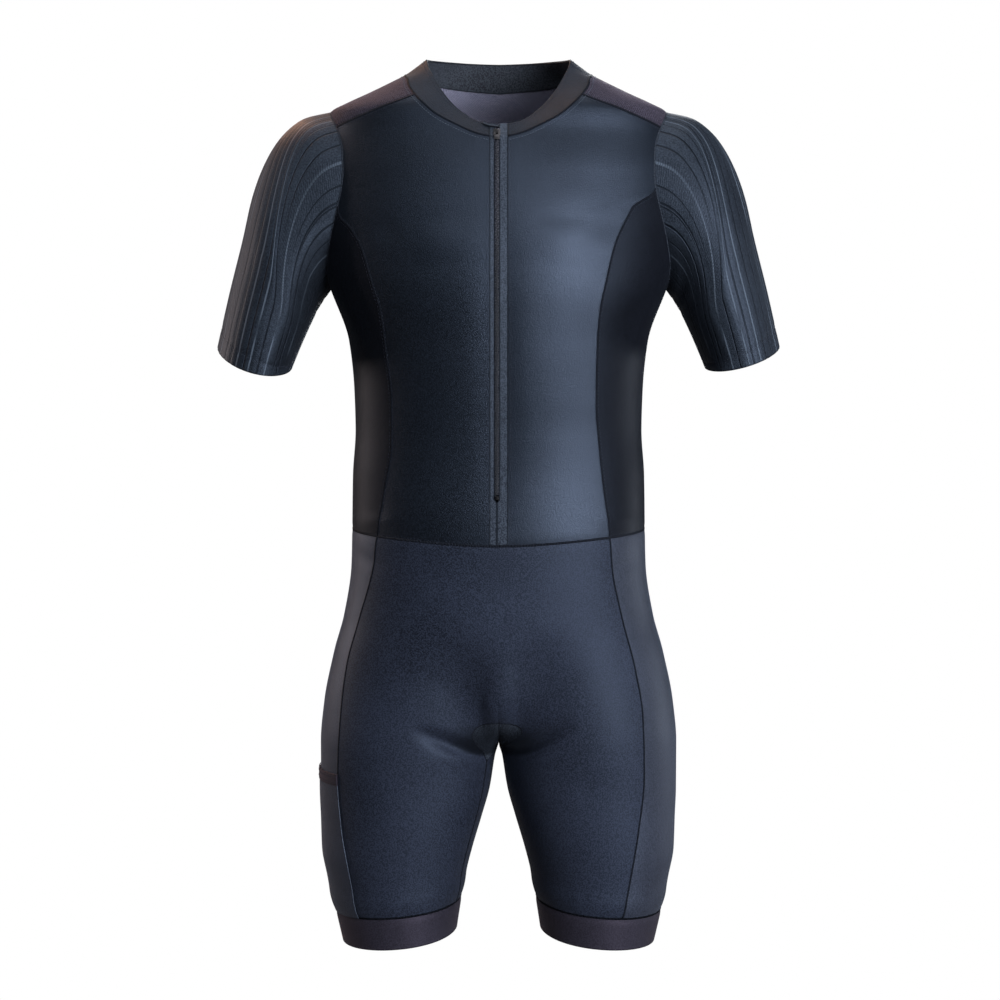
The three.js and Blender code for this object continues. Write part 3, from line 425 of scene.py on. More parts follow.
def gusset_edge(start, corner, end):
    """Level at the centre line, then down to the inseam; averaging rounds the corner."""
    third = ROWS["gusset"] * 3 // 5
    over = straight(start, corner, third)
    over[:, 1] = mix(start[1], corner[1], np.linspace(0, 1, third + 1) ** 1.7)
    run = join(over, straight(corner, end, ROWS["gusset"] - third))
    for _ in range(14):
        run[1:-1] = (run[:-2] + run[1:-1] * 2 + run[2:]) / 4
    return run


def lower_seams(side):
    """Inseam, the edges of the crotch gusset and the two side seams of one leg."""
    angle = INSEAM_ANGLE[side]
    inseam_z = np.linspace(INSEAM_TOP_Z, band_seam_z(angle), ROWS["inseam"] + 1)
    inseam = places(angle, inseam_z)
    corner_z = GUSSET["corner_z"]
    front_corner = (angle_at_x(GUSSET["corner_x"], corner_z), corner_z)
    back_corner = (angle_at_x(GUSSET["corner_x"], corner_z, True), corner_z)
    gusset_front = gusset_edge((0, GUSSET["front_z"]), front_corner, (angle, INSEAM_TOP_Z))
    gusset_back = gusset_edge((180, GUSSET["back_z"]), back_corner, (angle + 180, INSEAM_TOP_Z))

    def side_seam(waist_angle, distances, is_back):
        end = band_seam_z(angle_at_x(distances(BAND_SEAM_Z), BAND_SEAM_Z, is_back))
        middle = (GUSSET["back_z"] if is_back else GUSSET["front_z"]) - 6
        z = join(
            np.linspace(waist_z(waist_angle), middle, ROWS["hip"] + 1),
            np.linspace(middle, POCKET_MOUTH_Z, ROWS["gusset"] + 1),
            np.linspace(POCKET_MOUTH_Z, end, ROWS["inseam"] + 1),
        )
        run = places(angle_at_x(distances(z), z, is_back), z)
        run[0] = (waist_angle, waist_z(waist_angle))
        return run

    return {
        "inseam": inseam,
        "gusset_front": gusset_front,
        "gusset_back": gusset_back,
        "front_seam": side_seam(UPPER[side]["front_seam"][-1][0], FRONT_SEAM[side], False),
        "back_seam": side_seam(UPPER[side]["back_seam"][-1][0], BACK_SEAM[side], True),
    }


LOWER = {side: lower_seams(side) for side in SIGN}
print("side seam of the left leg ends at", LOWER["left"]["front_seam"][-1].round(1))

# %% [markdown]
# ## Forms, folds and pulls
# Tight cloth shows few folds. What the light picks out is the form under it: the hollow along the
# breastbone, the padded seat that swells over the crotch, and a crease each side where the thighs
# begin. They could be simulated, but a stretched suit on a figure hardly moves, so each is placed
# one by one as a soft trough or ridge between two points seen from the front. They depend on the
# place in space alone, so that the cloth stays joined across every seam.

# %% Creases
CREASES = [
    # x0, z0, x1, z1, height, half width, in front (1) or behind (-1)
    (-2, -100, -2, -430, -1.6, 19, 1),
    (-62, -150, -60, -196, 1.8, 34, 1),
    (66, -148, 62, -196, 1.8, 34, 1),
    (-18, -636, 20, -636, 6.5, 30, 1),
    (-24, -596, -24, -650, 1.8, 14, 1),
    (24, -596, 24, -650, 1.8, 14, 1),
    (-16, -692, -76, -662, -7.0, 7.5, 1),
    (16, -690, 66, -657, -6.4, 7.5, 1),
    (-60, -706, -104, -720, -0.7, 11, 1),
    (52, -702, 98, -718, -0.6, 12, 1),
    (-44, -626, -78, -600, -0.6, 15, 1),
    (50, -622, 86, -596, -0.5, 15, 1),
    (-150, -222, -128, -252, -1.6, 9, 1),
    (-146, -246, -132, -288, 1.0, 9, 1),
    (152, -222, 130, -256, -1.5, 9, 1),
    (146, -250, 128, -300, 1.0, 9, 1),
    (-124, -150, -96, -172, -0.8, 11, 1),
    (126, -146, 98, -166, -0.8, 11, 1),
    (-142, -452, -96, -446, 0.8, 6, 1),
    (138, -450, 92, -446, 0.8, 6, 1),
    (-146, -486, -112, -498, -0.8, 8, 1),
    (146, -486, 112, -500, -0.7, 8, 1),
    (0, -60, 0, -420, -3.0, 17, -1),
    (-76, -110, -70, -176, 2.2, 34, -1),
    (76, -110, 70, -176, 2.2, 34, -1),
    (-36, -684, -84, -662, -2.6, 8, -1),
    (38, -684, 80, -664, -2.4, 8, -1),
    (0, -560, 0, -672, -2.6, 11, -1),
    (-30, -700, -92, -716, 1.4, 9, -1),
    (32, -700, 88, -714, 1.3, 9, -1),
    (-92, -446, -18, -438, 1.5, 8, -1),
    (88, -444, 26, -436, 1.4, 8, -1),
    (-72, -424, -6, -416, -1.4, 9, -1),
    (78, -420, 14, -414, -1.2, 9, -1),
    (-54, -402, -10, -396, 0.9, 8, -1),
    (-146, -224, -112, -262, -1.8, 10, -1),
    (146, -226, 114, -260, -1.6, 10, -1),
    (-120, -176, -84, -210, 1.2, 12, -1),
    (120, -178, 88, -206, 1.1, 12, -1),
]


def crease_height(points, normals):
    """Each crease adds height times a bell across it, times a taper towards both its ends."""
    total = np.zeros(points.shape[:-1])
    flat = points[..., [0, 2]]
    for x0, z0, x1, z1, height, half_width, facing in CREASES:
        start, along = np.array([x0, z0]), np.array([x1 - x0, z1 - z0], float)
        way = ((flat - start) @ along) / (along @ along)
        held = np.clip(way, 0, 1)
        away = np.linalg.norm(flat - (start + held[..., None] * along), axis=-1)
        taper = 0.3 + 0.7 * np.sin(np.pi * np.clip(held, 0.02, 0.98))
        faces = ease(-facing * normals[..., 1] * 2.2)
        total += height * np.exp(-((away / half_width) ** 2)) * taper * faces
    return total


def pinch_height(angle, z):
    """Seams under tension bite in a little: a narrow trough at the waist and over each band."""
    waist = np.exp(-(((z - waist_z(angle)) / 3.6) ** 2)) * -0.6
    band = np.exp(-(((z - band_seam_z(angle)) / 4.0) ** 2)) * -1.0
    swell = np.exp(-(((z - band_seam_z(angle) - 15) / 9.0) ** 2)) * 0.9
    return waist + band + swell


print("creases placed:", len(CREASES))

# %% [markdown]
# ## From a grid to cloth
# A panel is drawn as a grid of places between its four seams, then every place is looked up on
# the body. A Coons patch does the filling: it follows all four edges, however they bend, where a
# plain grid would leave steps at a curved armhole. The sheet then gets a wall with a small round
# along its edges, worked out here rather than by a modifier, so that the edge shades cleanly.


# %% Places to cloth
def coons_grid(top, bottom, start, end):
    """Ruled one way plus ruled the other way, less the plain blend of the four corners."""
    u = np.linspace(0, 1, len(top))[None, :, None]
    v = np.linspace(0, 1, len(start))[:, None, None]
    ruled = mix(top[None], bottom[None], v) + mix(start[:, None], end[:, None], u)
    corners = mix(mix(top[0], top[-1], u), mix(bottom[0], bottom[-1], u), v)
    return ruled - corners


def cloth_point(side, place, lift=0.0):
    """The body surface, moved out along its normal by the creases and by a lift."""
    angle, z = place[..., 0], place[..., 1]
    point, normal = body_point(side, angle, z), body_normal(side, angle, z)
    height = crease_height(point, normal) + pinch_height(angle, z) + lift
    return point + normal * height[..., None], normal


def arc(points, axis):
    """Distance run along one way of the grid, in millimetres, from its first line."""
    steps = np.linalg.norm(np.diff(points, axis=axis), axis=-1)
    start = np.zeros_like(np.take(steps, [0], axis=axis))
    return np.concatenate([start, np.cumsum(steps, axis=axis)], axis=axis)


class Patch:
    """One grid of a sheet: points, outward directions, cloth lengths and distance to its seams."""

    def __init__(self, points, normals, seams="tbse"):
        self.points, self.normals = points, normals
        across, down = arc(points, 1), arc(points, 0)
        self.uv = np.stack([across, -down], axis=-1) * MM
        ways = {"t": down, "b": down[-1:] - down, "s": across, "e": across[:, -1:] - across}
        near = [ways[way] for way in seams] or [np.full(across.shape, 500.0)]
        self.edge = np.min(near, axis=0) * MM


def body_patch(side, grid, seams="tbse"):
    points, normals = cloth_point(side, grid)
    return Patch(points, normals, seams)


print("a coons grid of the left front:", len(UPPER["left"]["zip_edge"]), "rows")


# %% Meshes from arrays
def mesh_from_arrays(name, points, corners, uv=None, edge=None):
    """Quads given as rows of four numbers; a repeated corner is dropped, which leaves a triangle."""
    keep = corners != np.roll(corners, -1, axis=1)
    counts = keep.sum(axis=1)
    keep &= (counts >= 3)[:, None]
    counts = counts[counts >= 3]
    mesh = bpy.data.meshes.new(name)
    mesh.vertices.add(len(points))
    mesh.vertices.foreach_set("co", (points * MM).astype(np.float32).ravel())
    mesh.loops.add(int(keep.sum()))
    mesh.loops.foreach_set("vertex_index", corners[keep].astype(np.int32))
    mesh.polygons.add(len(counts))
    starts = np.concatenate([[0], np.cumsum(counts)[:-1]]).astype(np.int32)
    mesh.polygons.foreach_set("loop_start", starts)
    mesh.polygons.foreach_set("loop_total", counts.astype(np.int32))
    mesh.update(calc_edges=True)
    if uv is not None:
        layer = mesh.uv_layers.new(name="cloth")
        layer.data.foreach_set("uv", uv[keep].astype(np.float32).ravel())
    if edge is not None:
        attribute = mesh.attributes.new("edge", "FLOAT", "POINT")
        attribute.data.foreach_set("value", edge.astype(np.float32))
    mesh.shade_smooth()
    return mesh


def add_object(name, mesh, look, body=SUIT):
    """Links a mesh into the scene with the finish of a given name, and makes it ride."""
    piece = bpy.data.objects.new(name, mesh)
    bpy.context.scene.collection.objects.link(piece)
    mesh.materials.append(bpy.data.materials[look])
    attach(piece, body)
    return piece


def weld(patches):
    """Joins patches where their points meet within a hundredth of a millimetre."""
    points = np.concatenate([patch.points.reshape(-1, 3) for patch in patches])
    normals = np.concatenate([patch.normals.reshape(-1, 3) for patch in patches])
    uv = np.concatenate([patch.uv.reshape(-1, 2) for patch in patches])
    edge = np.concatenate([patch.edge.ravel() for patch in patches])
    quads, first = [], 0
    for patch in patches:
        rows, columns = patch.points.shape[:2]
        number = first + np.arange(rows * columns).reshape(rows, columns)
        quads.append(
            np.stack([number[:-1, :-1], number[1:, :-1], number[1:, 1:], number[:-1, 1:]], axis=-1)
        )
        first += rows * columns
    quads = np.concatenate([quad.reshape(-1, 4) for quad in quads])
    key = np.round(points / 0.01 + 0.137).astype(np.int64)
    _, kept, index = np.unique(key, axis=0, return_index=True, return_inverse=True)
    index = index.ravel()
    corner_uv = uv[quads]
    quads = index[quads]
    diagonal = np.cross(
        points[kept][quads[:, 2]] - points[kept][quads[:, 0]],
        points[kept][quads[:, 3]] - points[kept][quads[:, 1]],
    )
    wanted = normals[kept][quads].sum(axis=1)
    flipped = (diagonal * wanted).sum(axis=1) < 0
    quads[flipped] = quads[flipped][:, ::-1]
    corner_uv[flipped] = corner_uv[flipped][:, ::-1]
    nearest = np.full(len(kept), 1e3)
    np.minimum.at(nearest, index, edge)
    return points[kept], quads, corner_uv, nearest


def vertex_normals(points, quads):
    """Sum of the cross products of the diagonals of the faces round each point."""
    facing = np.cross(
        points[quads[:, 2]] - points[quads[:, 0]], points[quads[:, 3]] - points[quads[:, 1]]
    )
    total = np.zeros_like(points)
    for corner in range(4):
        np.add.at(total, quads[:, corner], facing)
    return unit(total)


def open_edges(quads):
    """Directed edges that only one face uses."""
    edges = np.stack([quads, np.roll(quads, -1, axis=1)], axis=-1).reshape(-1, 2)
    edges = edges[edges[:, 0] != edges[:, 1]]
    size = int(quads.max()) + 1
    forward, backward = edges[:, 0] * size + edges[:, 1], edges[:, 1] * size + edges[:, 0]
    return edges[~np.isin(forward, backward)]


def sheet_of(
    name, patches, thickness, look, slot, node, flat, recess=0.0, held="stretched", inside=None
):
    """Outer face, inner face a thickness behind it, and between them a rim with a half round."""
    points, quads, corner_uv, edge = weld(patches)
    normals = vertex_normals(points, quads)
    rim = open_edges(quads)
    count = len(points)
    outer = points - normals * recess
    inner = points - normals * (recess + thickness)
    along = unit(points[rim[:, 1]] - points[rim[:, 0]])
    outward = np.zeros_like(points)
    for end in (0, 1):
        np.add.at(outward, rim[:, end], np.cross(along, normals[rim[:, end]]))
    on_rim = np.unique(rim)
    ring = np.full(count, -1)
    ring[on_rim] = 2 * count + np.arange(len(on_rim))
    middle = points - normals * (recess + thickness / 2)
    bulge = middle[on_rim] + unit(outward[on_rim]) * thickness * 0.22
    upper = np.stack([rim[:, 1], rim[:, 0], ring[rim[:, 0]], ring[rim[:, 1]]], axis=-1)
    lower = np.stack(
        [ring[rim[:, 1]], ring[rim[:, 0]], rim[:, 0] + count, rim[:, 1] + count], axis=-1
    )
    corners = np.concatenate([quads, quads[:, ::-1] + count, upper, lower])
    tips = np.zeros((len(points), 2))
    tips[quads.ravel()] = corner_uv.reshape(-1, 2)
    rim_uv = tips[rim[:, [1, 0, 0, 1]]]
    uv = np.concatenate([corner_uv, corner_uv[:, ::-1], rim_uv, rim_uv])
    edges = np.concatenate([edge, edge, edge[on_rim]])
    mesh = mesh_from_arrays(name, np.concatenate([outer, inner, bulge]), corners, uv, edges)
    mesh.set_sharp_from_angle(angle=np.radians(40))
    piece = add_object(name, mesh, look, SUIT)
    if inside:
        mesh.materials.append(bpy.data.materials[inside])
        shown = np.zeros(len(mesh.polygons), np.int32)
        shown[len(quads) : 2 * len(quads)] = 1
        mesh.polygons.foreach_set("material_index", shown)
    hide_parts(node)
    diagonals = points[quads[:, 2:]] - points[quads[:, :2]]
    area = np.linalg.norm(np.cross(diagonals[:, 0], diagonals[:, 1]), axis=1).sum() / 2 * MM**2
    cut = flat[0] * flat[1]
    float(np.clip(area, 0.31 * cut, cut))
    print(name, "faces", len(corners), "area", round(area, 4), "of", round(cut, 4))
    return piece


CLOTH, BAND = 1.5, 2.2
print("wall of a panel in mm:", CLOTH, "and of a doubled one:", BAND)

# %% [markdown]
# ## Finishes
# A finish here is a small network of nodes that follows the cloth's own lengths in its UV map, so
# that a knit runs with the panel. Writing each network by hand is slow, so one small class lets
# sockets be added and multiplied like numbers.


# %% Shader maths
class Wire:
    """An output socket that joins in sums: each operator adds one Math node."""

    def __init__(self, finish, socket):
        self.finish, self.socket = finish, socket

    def maths(self, operation, *others):
        inputs = dict(enumerate((self, *others)))
        return self.finish.node("Math", {"operation": operation}, inputs)

    def flipped(self, operation, other):
        return self.finish.node("Math", {"operation": operation}, {0: other, 1: self})

    def __add__(self, other):
        return self.maths("ADD", other)

    def __mul__(self, other):
        return self.maths("MULTIPLY", other)

    def __sub__(self, other):
        return self.maths("SUBTRACT", other)

    def __rsub__(self, other):
        return self.flipped("SUBTRACT", other)

    def __truediv__(self, other):
        return self.maths("DIVIDE", other)

    def step(self, low, high):
        """Eases from 0 to 1 while this value goes from low to high."""
        settings = {"interpolation_type": "SMOOTHSTEP"}
        return self.finish.node("MapRange", settings, {0: self, 1: low, 2: high})

    __radd__, __rmul__ = __add__, __mul__


class Finish:
    """A material with the shader's own sockets set once, and a method for any other node."""

    def __init__(self, name, **constants):
        self.material = bpy.data.materials.new(name)
        self.material.use_nodes = True
        self.tree = self.material.node_tree
        self.shader = self.tree.nodes["Principled BSDF"]
        for socket, value in constants.items():
            self.shader.inputs[socket.replace("_", " ")].default_value = value

    def node(self, kind, settings=(), inputs=(), output=0):
        made = self.tree.nodes.new("ShaderNode" + kind)
        for name, value in dict(settings).items():
            setattr(made, name, value)
        for name, value in dict(inputs).items():
            if isinstance(value, Wire):
                self.tree.links.new(value.socket, made.inputs[name])
            else:
                made.inputs[name].default_value = value
        return Wire(self, made.outputs[output])

    def feed(self, **wires):
        for socket, wire in wires.items():
            self.tree.links.new(wire.socket, self.shader.inputs[socket.replace("_", " ")])
        return self.material

    def cloth(self):
        """Cloth lengths in millimetres: across and along."""
        uv = self.node("UVMap", {"uv_map": "cloth"})
        split = self.node("SeparateXYZ", (), {0: uv})
        return split * 1000.0, Wire(self, split.socket.node.outputs[1]) * 1000.0

    def position(self):
        return self.node("TexCoord", (), (), 3)

    def edge(self):
        """Distance to the nearest seam of the panel, in millimetres."""
        return self.node("Attribute", {"attribute_name": "edge"}, (), "Fac") * 1000.0

    def noise(self, vector, scale, detail=2.0, roughness=0.5):
        return self.node(
            "TexNoise",
            (),
            {"Vector": vector, "Scale": scale, "Detail": detail, "Roughness": roughness},
        )

    def wave(self, phase):
        """Sine of a phase in turns, from 0 to 1."""
        return (phase * (2 * np.pi)).maths("SINE") * 0.5 + 0.5

    def blend(self, factor, low, high):
        settings = {"data_type": "RGBA"}
        return self.node("Mix", settings, {0: factor, 6: low, 7: high}, 2)

    def bump(self, height, strength=1.0, distance=0.001):
        return self.node(
            "Bump", (), {"Height": height, "Strength": strength, "Distance": distance}
        )


def colour(red, green, blue):
    """A colour given 0 to 255, made linear."""
    picked = np.array([red, green, blue]) / 255
    linear = np.where(picked <= 0.04045, picked / 12.92, ((picked + 0.055) / 1.055) ** 2.4)
    return (*linear.tolist(), 1.0)


print("linear value of mid navy:", np.round(colour(42, 49, 69)[:3], 3))


# %% [markdown]
# ### Knit
# Stretch knit is rows of tiny V loops of a thread that is itself a mix of darker and paler
# filaments. From an arm's length the loops melt into a fine speckle, and along every seam, where
# the cloth turns down into the stitching, it lies in shade, which is painted into its colour as a
# thin dark line. The mesh of the back is the same with small holes between the loops. All of it is
# drawn by sine waves and noise, so that it stays sharp close up.

# %% Colours of the knits
# BLACK is the colour of the painted shade along the seams and of the painted shadow over the crotch, and
# of dark marks in the sleeve's knit.
BLACK = colour(5, 6, 9)
SILVER_BLUE, ICE_BLUE, VIOLET = (176, 194, 226), (172, 190, 223), (205, 190, 220)
PALE_STEEL, PALE_ASH = (192, 202, 224), (205, 208, 220)
print("linear value of the seams' black:", np.round(BLACK[:3], 4))

# %% [markdown]
# ### Shadow where the thighs start
# On the figure the cloth over the crotch turns down and in, and gathers dark there. In the
# photo it reads as a soft arch. The form alone gives too little of it under soft light, so
# the cloth of the shorts and the gusset is also darker between two arcs, read from the
# place on the object, which stays the same on both sides of every seam.

# %% Shadow over the crotch
ARC_HALF_WIDTH, ARC_TOP_Z, ARC_FOOT_Z = 0.066, -0.650, -0.697
ARC_TOP_BEND, ARC_FOOT_BEND = -0.004, 0.034


def crotch_shadow(finish):
    """Dark between two arcs over the crotch: soft above, sharp below, where the thighs start."""
    place = finish.position()
    x = finish.node("SeparateXYZ", (), {0: place}, 0)
    z = finish.node("SeparateXYZ", (), {0: place}, 2)
    out = x.maths("ABSOLUTE") / ARC_HALF_WIDTH
    above = z - (out * out * ARC_FOOT_BEND + ARC_FOOT_Z)
    below = ARC_TOP_Z - out * out * -ARC_TOP_BEND - z
    return above.step(0.0, 0.005) * below.step(-0.004, 0.024) * out.step(1.05, 0.35)


print("the shadow spans", 2 * ARC_HALF_WIDTH, "m and", round(ARC_TOP_Z - ARC_FOOT_Z, 3), "m down")


# %% Knit cloth
def knit(
    name,
    dark,
    light,
    loop,
    relief,
    roughness,
    specular,
    sheen,
    tint,
    speckle,
    hole=0.0,
    seam=0.55,
    shadow=0.0,
):
    """Slanted sine waves for the loops, noise for the filaments, dark holes and painted seam shade."""
    finish = Finish(
        name,
        Sheen_Weight=sheen,
        Sheen_Roughness=0.4,
        Sheen_Tint=colour(*tint),
        Specular_Tint=colour(*tint),
        Specular_IOR_Level=specular,
    )
    across, along = finish.cloth()
    slant = (across / loop).maths("PINGPONG", 0.5) * 1.2
    loops = finish.wave(along / loop + slant) * 0.6 + finish.wave(across / loop) * 0.4
    broad = finish.noise(finish.position(), 8.0, 4.0).step(0.3, 0.7)
    grain = finish.noise(finish.position(), 760.0, 1.0).step(0.35, 0.65)
    # The loops' wave paints a little shade into the valleys and a little light onto the loops; the grain
    # is the filaments' own mix.
    shade = loops * 0.25 + grain * speckle + broad * 0.25
    height = loops * 0.5 + grain * 0.7
    if hole:
        gaps = finish.wave((across + along) / hole) * finish.wave((across - along) / hole)
        gaps = gaps.step(0.15, 0.5)
        shade = shade * (1.0 - gaps * 0.85)
        height = height - gaps * 1.6
    # Painted shade: the colour darkens within about 2 mm of a seam, where the cloth turns down.
    near = finish.edge().step(1.8, 0.2)
    cloth = finish.blend(shade, colour(*dark), colour(*light))
    if shadow:
        cloth = finish.blend(crotch_shadow(finish) * shadow, cloth, BLACK)
    finish.feed(
        Base_Color=finish.blend(near * seam, cloth, BLACK),
        Roughness=broad * 0.05 + grain * 0.08 + (roughness - 0.06),
        Normal=finish.bump(height, 1.0, relief * MM),
    )
    return finish.material


KNITS = {
    # darkest colour, with a little painted shade in the valleys, palest colour, with a little painted
    # light on the loops, loop, relief, roughness, specular, sheen, its tint, speckle, and for some also
    # the distance of the holes, how much painted shade darkens the seams' edges, and how much painted
    # shadow lies over the crotch
    "sheen_front_knit": ((2, 3, 5), (15, 20, 28), 0.7, 0.08, 0.41, 1.0, 0.03, ICE_BLUE, 0.7),
    "side_knit": ((5, 6, 9), (22, 24, 32), 0.7, 0.06, 0.45, 0.28, 0.06, SILVER_BLUE, 0.45),
    "mesh_knit": ((14, 13, 19), (82, 78, 94), 0.9, 0.15, 0.7, 0.25, 0.2, VIOLET, 0.45, 2.8),
    # Painted light: a much paler copy of the mesh knit, given to the inner face of the back.
    "mesh_inside_knit": (
        *((70, 70, 90), (218, 218, 250), 0.9, 0.15, 0.7, 0.25, 0.2, VIOLET, 0.45),
        2.8,
    ),
    "collar_knit": ((10, 12, 16), (38, 43, 54), 0.9, 0.12, 0.6, 0.3, 0.08, PALE_STEEL, 0.6),
    # Painted light: a paler copy of the collar knit, given to the collar's inner face.
    "collar_inside_knit": (
        *((27, 29, 34), (86, 92, 104), 0.9, 0.08, 0.6, 0.25, 0.1, PALE_ASH, 0.45),
    ),
    "shorts_knit": (
        *((13, 15, 22), (50, 56, 73), 0.7, 0.06, 0.52, 0.4, 0.08, SILVER_BLUE, 0.6),
        *(0.0, 0.55, 0.9),
    ),
    "shorts_side_knit": (
        *((15, 16, 22), (56, 60, 75), 0.7, 0.08, 0.46, 0.9, 0.25, SILVER_BLUE, 0.55),
    ),
    "gusset_knit": (
        *((8, 9, 13), (78, 86, 100), 2.6, 0.5, 0.7, 0.3, 0.05, SILVER_BLUE, 0.3),
        *(0.0, 0.0, 0.85),
    ),
    "band_knit": ((22, 21, 27), (66, 64, 78), 0.8, 0.05, 0.5, 0.4, 0.15, VIOLET, 0.25),
    "zip_tape_weave": (
        *((24, 27, 34), (84, 93, 108), 0.8, 0.1, 0.6, 0.3, 0.1, SILVER_BLUE, 0.45),
        *(0.0, 0.9),
    ),
}
for name, settings in KNITS.items():
    knit(name, *settings)
print("cloth finishes made:", len(bpy.data.materials))

# %% [markdown]
# ### Thread
# Flatlock is sewn with a soft, dull thread in a ladder: rungs across, loops on both edges.
# Each rung could be a mesh of its own, but there are thousands. A wave along the band's own
# length draws them in colour and relief instead, at the distance of real stitches.

# %% Thread
def thread(name, dark, light, rung):
    """Ladder stitching: rungs across the seam, drawn by a wave along its length."""
    finish = Finish(name, Specular_IOR_Level=0.12, Specular_Tint=colour(*SILVER_BLUE))
    across, along = finish.cloth()
    rungs = finish.wave(along / rung)
    grain = finish.noise(finish.position(), 900.0, 2.0).step(0.3, 0.7)
    finish.feed(
        # Darker between the rungs, as painted shade in the hollows, and paler on the rungs.
        Base_Color=finish.blend(rungs * 0.6 + grain * 0.4, colour(*dark), colour(*light)),
        Roughness=grain * 0.15 + 0.5,
        Normal=finish.bump(rungs + grain * 0.3, 1.0, 0.0004),
    )
    return finish.material


THREADS = {
    # colour between the rungs, darkened as painted shade in the hollows, colour of the rungs, and the
    # distance between the rungs in millimetres
    "flatlock_thread": ((7, 8, 11), (36, 39, 48), 1.5),
    "armhole_thread": ((12, 14, 18), (72, 79, 92), 1.5),
    "topstitch_thread": ((46, 52, 64), (104, 114, 132), 0.5),
    "topstitch_dark_thread": ((26, 28, 36), (66, 70, 84), 0.5),
}
for name, settings in THREADS.items():
    thread(name, *settings)
print("threads made:", len(THREADS))

# %% [markdown]
# ## Stitching
# The panels are joined by flatlock: their edges meet and a ladder of thread lies over both, as a
# low band that is a little darker than the cloth. Topstitching is a row of single stitches. Both
# follow the seams' own lines on the cloth, a band as a flat D carried along the line, and a row
# as one short capsule for each stitch, so that they catch the light from every side.

# %% Tubes along a path
def tube(path, upward, profile_across, profile_up):
    """A closed profile carried along a path: across is the tangent crossed with the upward way."""
    tangent = unit(np.gradient(path, axis=0))
    across = unit(np.cross(tangent, upward))
    upward = unit(np.cross(across, tangent))
    ring = np.asarray(profile_across)[None, :, None] * across[:, None]
    ring = ring + np.asarray(profile_up)[None, :, None] * upward[:, None]
    return path[:, None] + ring


def tube_quads(rows, columns, closed=True):
    """Faces between neighbouring rings, and at each open end a fan of quads closes the ring."""
    number = np.arange(rows * columns).reshape(rows, columns)
    around = np.roll(number, -1, axis=1)
    quads = np.stack([number[:-1], around[:-1], around[1:], number[1:]], axis=-1).reshape(-1, 4)
    caps = []
    for ring, turn in ((number[0], -1), (number[-1], 1)):
        pairs = [
            (ring[i], ring[i + 1], ring[-2 - i], ring[-1 - i]) for i in range(columns // 2 - 1)
        ]
        if columns % 2:
            middle = columns // 2
            pairs.append((ring[middle - 1], ring[middle], ring[middle + 1], ring[middle + 1]))
        caps.append(np.array(pairs)[:, ::turn])
    return np.concatenate([quads, *caps])


# %% Seam bands and rows of stitches
def line_on(side, run):
    """A run of places as points on the creased cloth, with their outward directions."""
    return cloth_point(side, run)


def beside(line, distance):
    """The line moved sideways in the cloth, to the right of its way seen from outside."""
    points, normals = line
    across = unit(np.cross(unit(np.gradient(points, axis=0)), normals))
    return points + across * distance, normals


def resample(line, spacing):
    """The same line with its points evenly spaced along it."""
    points, normals = line
    run = arc(points[:, None], 0)[:, 0]
    count = max(2, int(round(run[-1] / spacing)))
    way = (np.arange(count) + 0.5) / count * run[-1]
    return look_up(run, points, way), unit(look_up(run, normals, way))


def look_up(keys, values, key):
    """Each column of values read at a key, in a straight line between its rows."""
    return np.stack([np.interp(key, keys, column) for column in values.T], axis=-1)


def seam_band(name, lines, width, height, look):
    """A flat D along each line: half an ellipse on top, and a foot sunk into the cloth."""
    turn = np.linspace(0, np.pi, 7)
    profile_across = np.concatenate([np.cos(turn), [-0.8, 0.8]]) * width / 2
    profile_up = np.concatenate([np.sin(turn) ** 0.8 * height, [-0.35, -0.35]])
    points, corners, uv, first = [], [], [], 0
    for path, normals in lines:
        rings = tube(path, normals, profile_across, profile_up)
        quads = tube_quads(*rings.shape[:2])
        along = arc(path[:, None], 0)
        lengths = np.stack(np.broadcast_arrays(profile_across[None], along), axis=-1)
        points.append(rings.reshape(-1, 3))
        corners.append(quads + first)
        uv.append(lengths.reshape(-1, 2)[quads] * MM)
        first += rings.shape[0] * rings.shape[1]
    mesh = mesh_from_arrays(name, *map(np.concatenate, (points, corners, uv)))
    print(name, "faces", len(mesh.polygons))
    return add_object(name, mesh, look, SUIT)


def stitch_rows(name, lines, look, length, gap, radius):
    """Capsules of four rings of five points, whose ends dip into the cloth."""
    spaced = [resample(line, length + gap) for line in lines]
    points, normals = map(np.concatenate, zip(*spaced))
    ahead = unit(np.concatenate([np.gradient(row, axis=0) for row, _ in spaced]))
    sideways = unit(np.cross(ahead, normals))
    turn = np.radians(np.arange(0, 360, 72))
    ring_along = np.array([-0.5, -0.3, 0.3, 0.5]) * length
    ring_size = np.array([0.35, 1.0, 1.0, 0.35]) * radius
    ring_up = np.array([-0.12, 0.14, 0.14, -0.12])
    across = sideways[:, None] * np.cos(turn)[:, None] + normals[:, None] * np.sin(turn)[:, None]
    rings = (
        points[:, None, None]
        + ahead[:, None, None] * ring_along[None, :, None, None]
        + normals[:, None, None] * ring_up[None, :, None, None]
        + across[:, None] * ring_size[None, :, None, None]
    )
    quads = tube_quads(4, 5)
    corners = (quads[None] + (np.arange(len(points)) * 20)[:, None, None]).reshape(-1, 4)
    uv = np.zeros((len(corners), 4, 2))
    mesh = mesh_from_arrays(name, rings.reshape(-1, 3), corners, uv)
    print(name, "stitches", len(points), "faces", len(mesh.polygons))
    return add_object(name, mesh, look, SUIT)


# %% Lines to be stitched
ARMHOLE_PARTS = ("arm_front", "arm_under", "arm_blade", "arm_top")
NECK_PARTS = ("neck_front", "neck_shoulder", "neck_back")


def band_run(start, end, count):
    angles = np.linspace(start, end, count + 1)
    return places(angles, band_seam_z(angles))


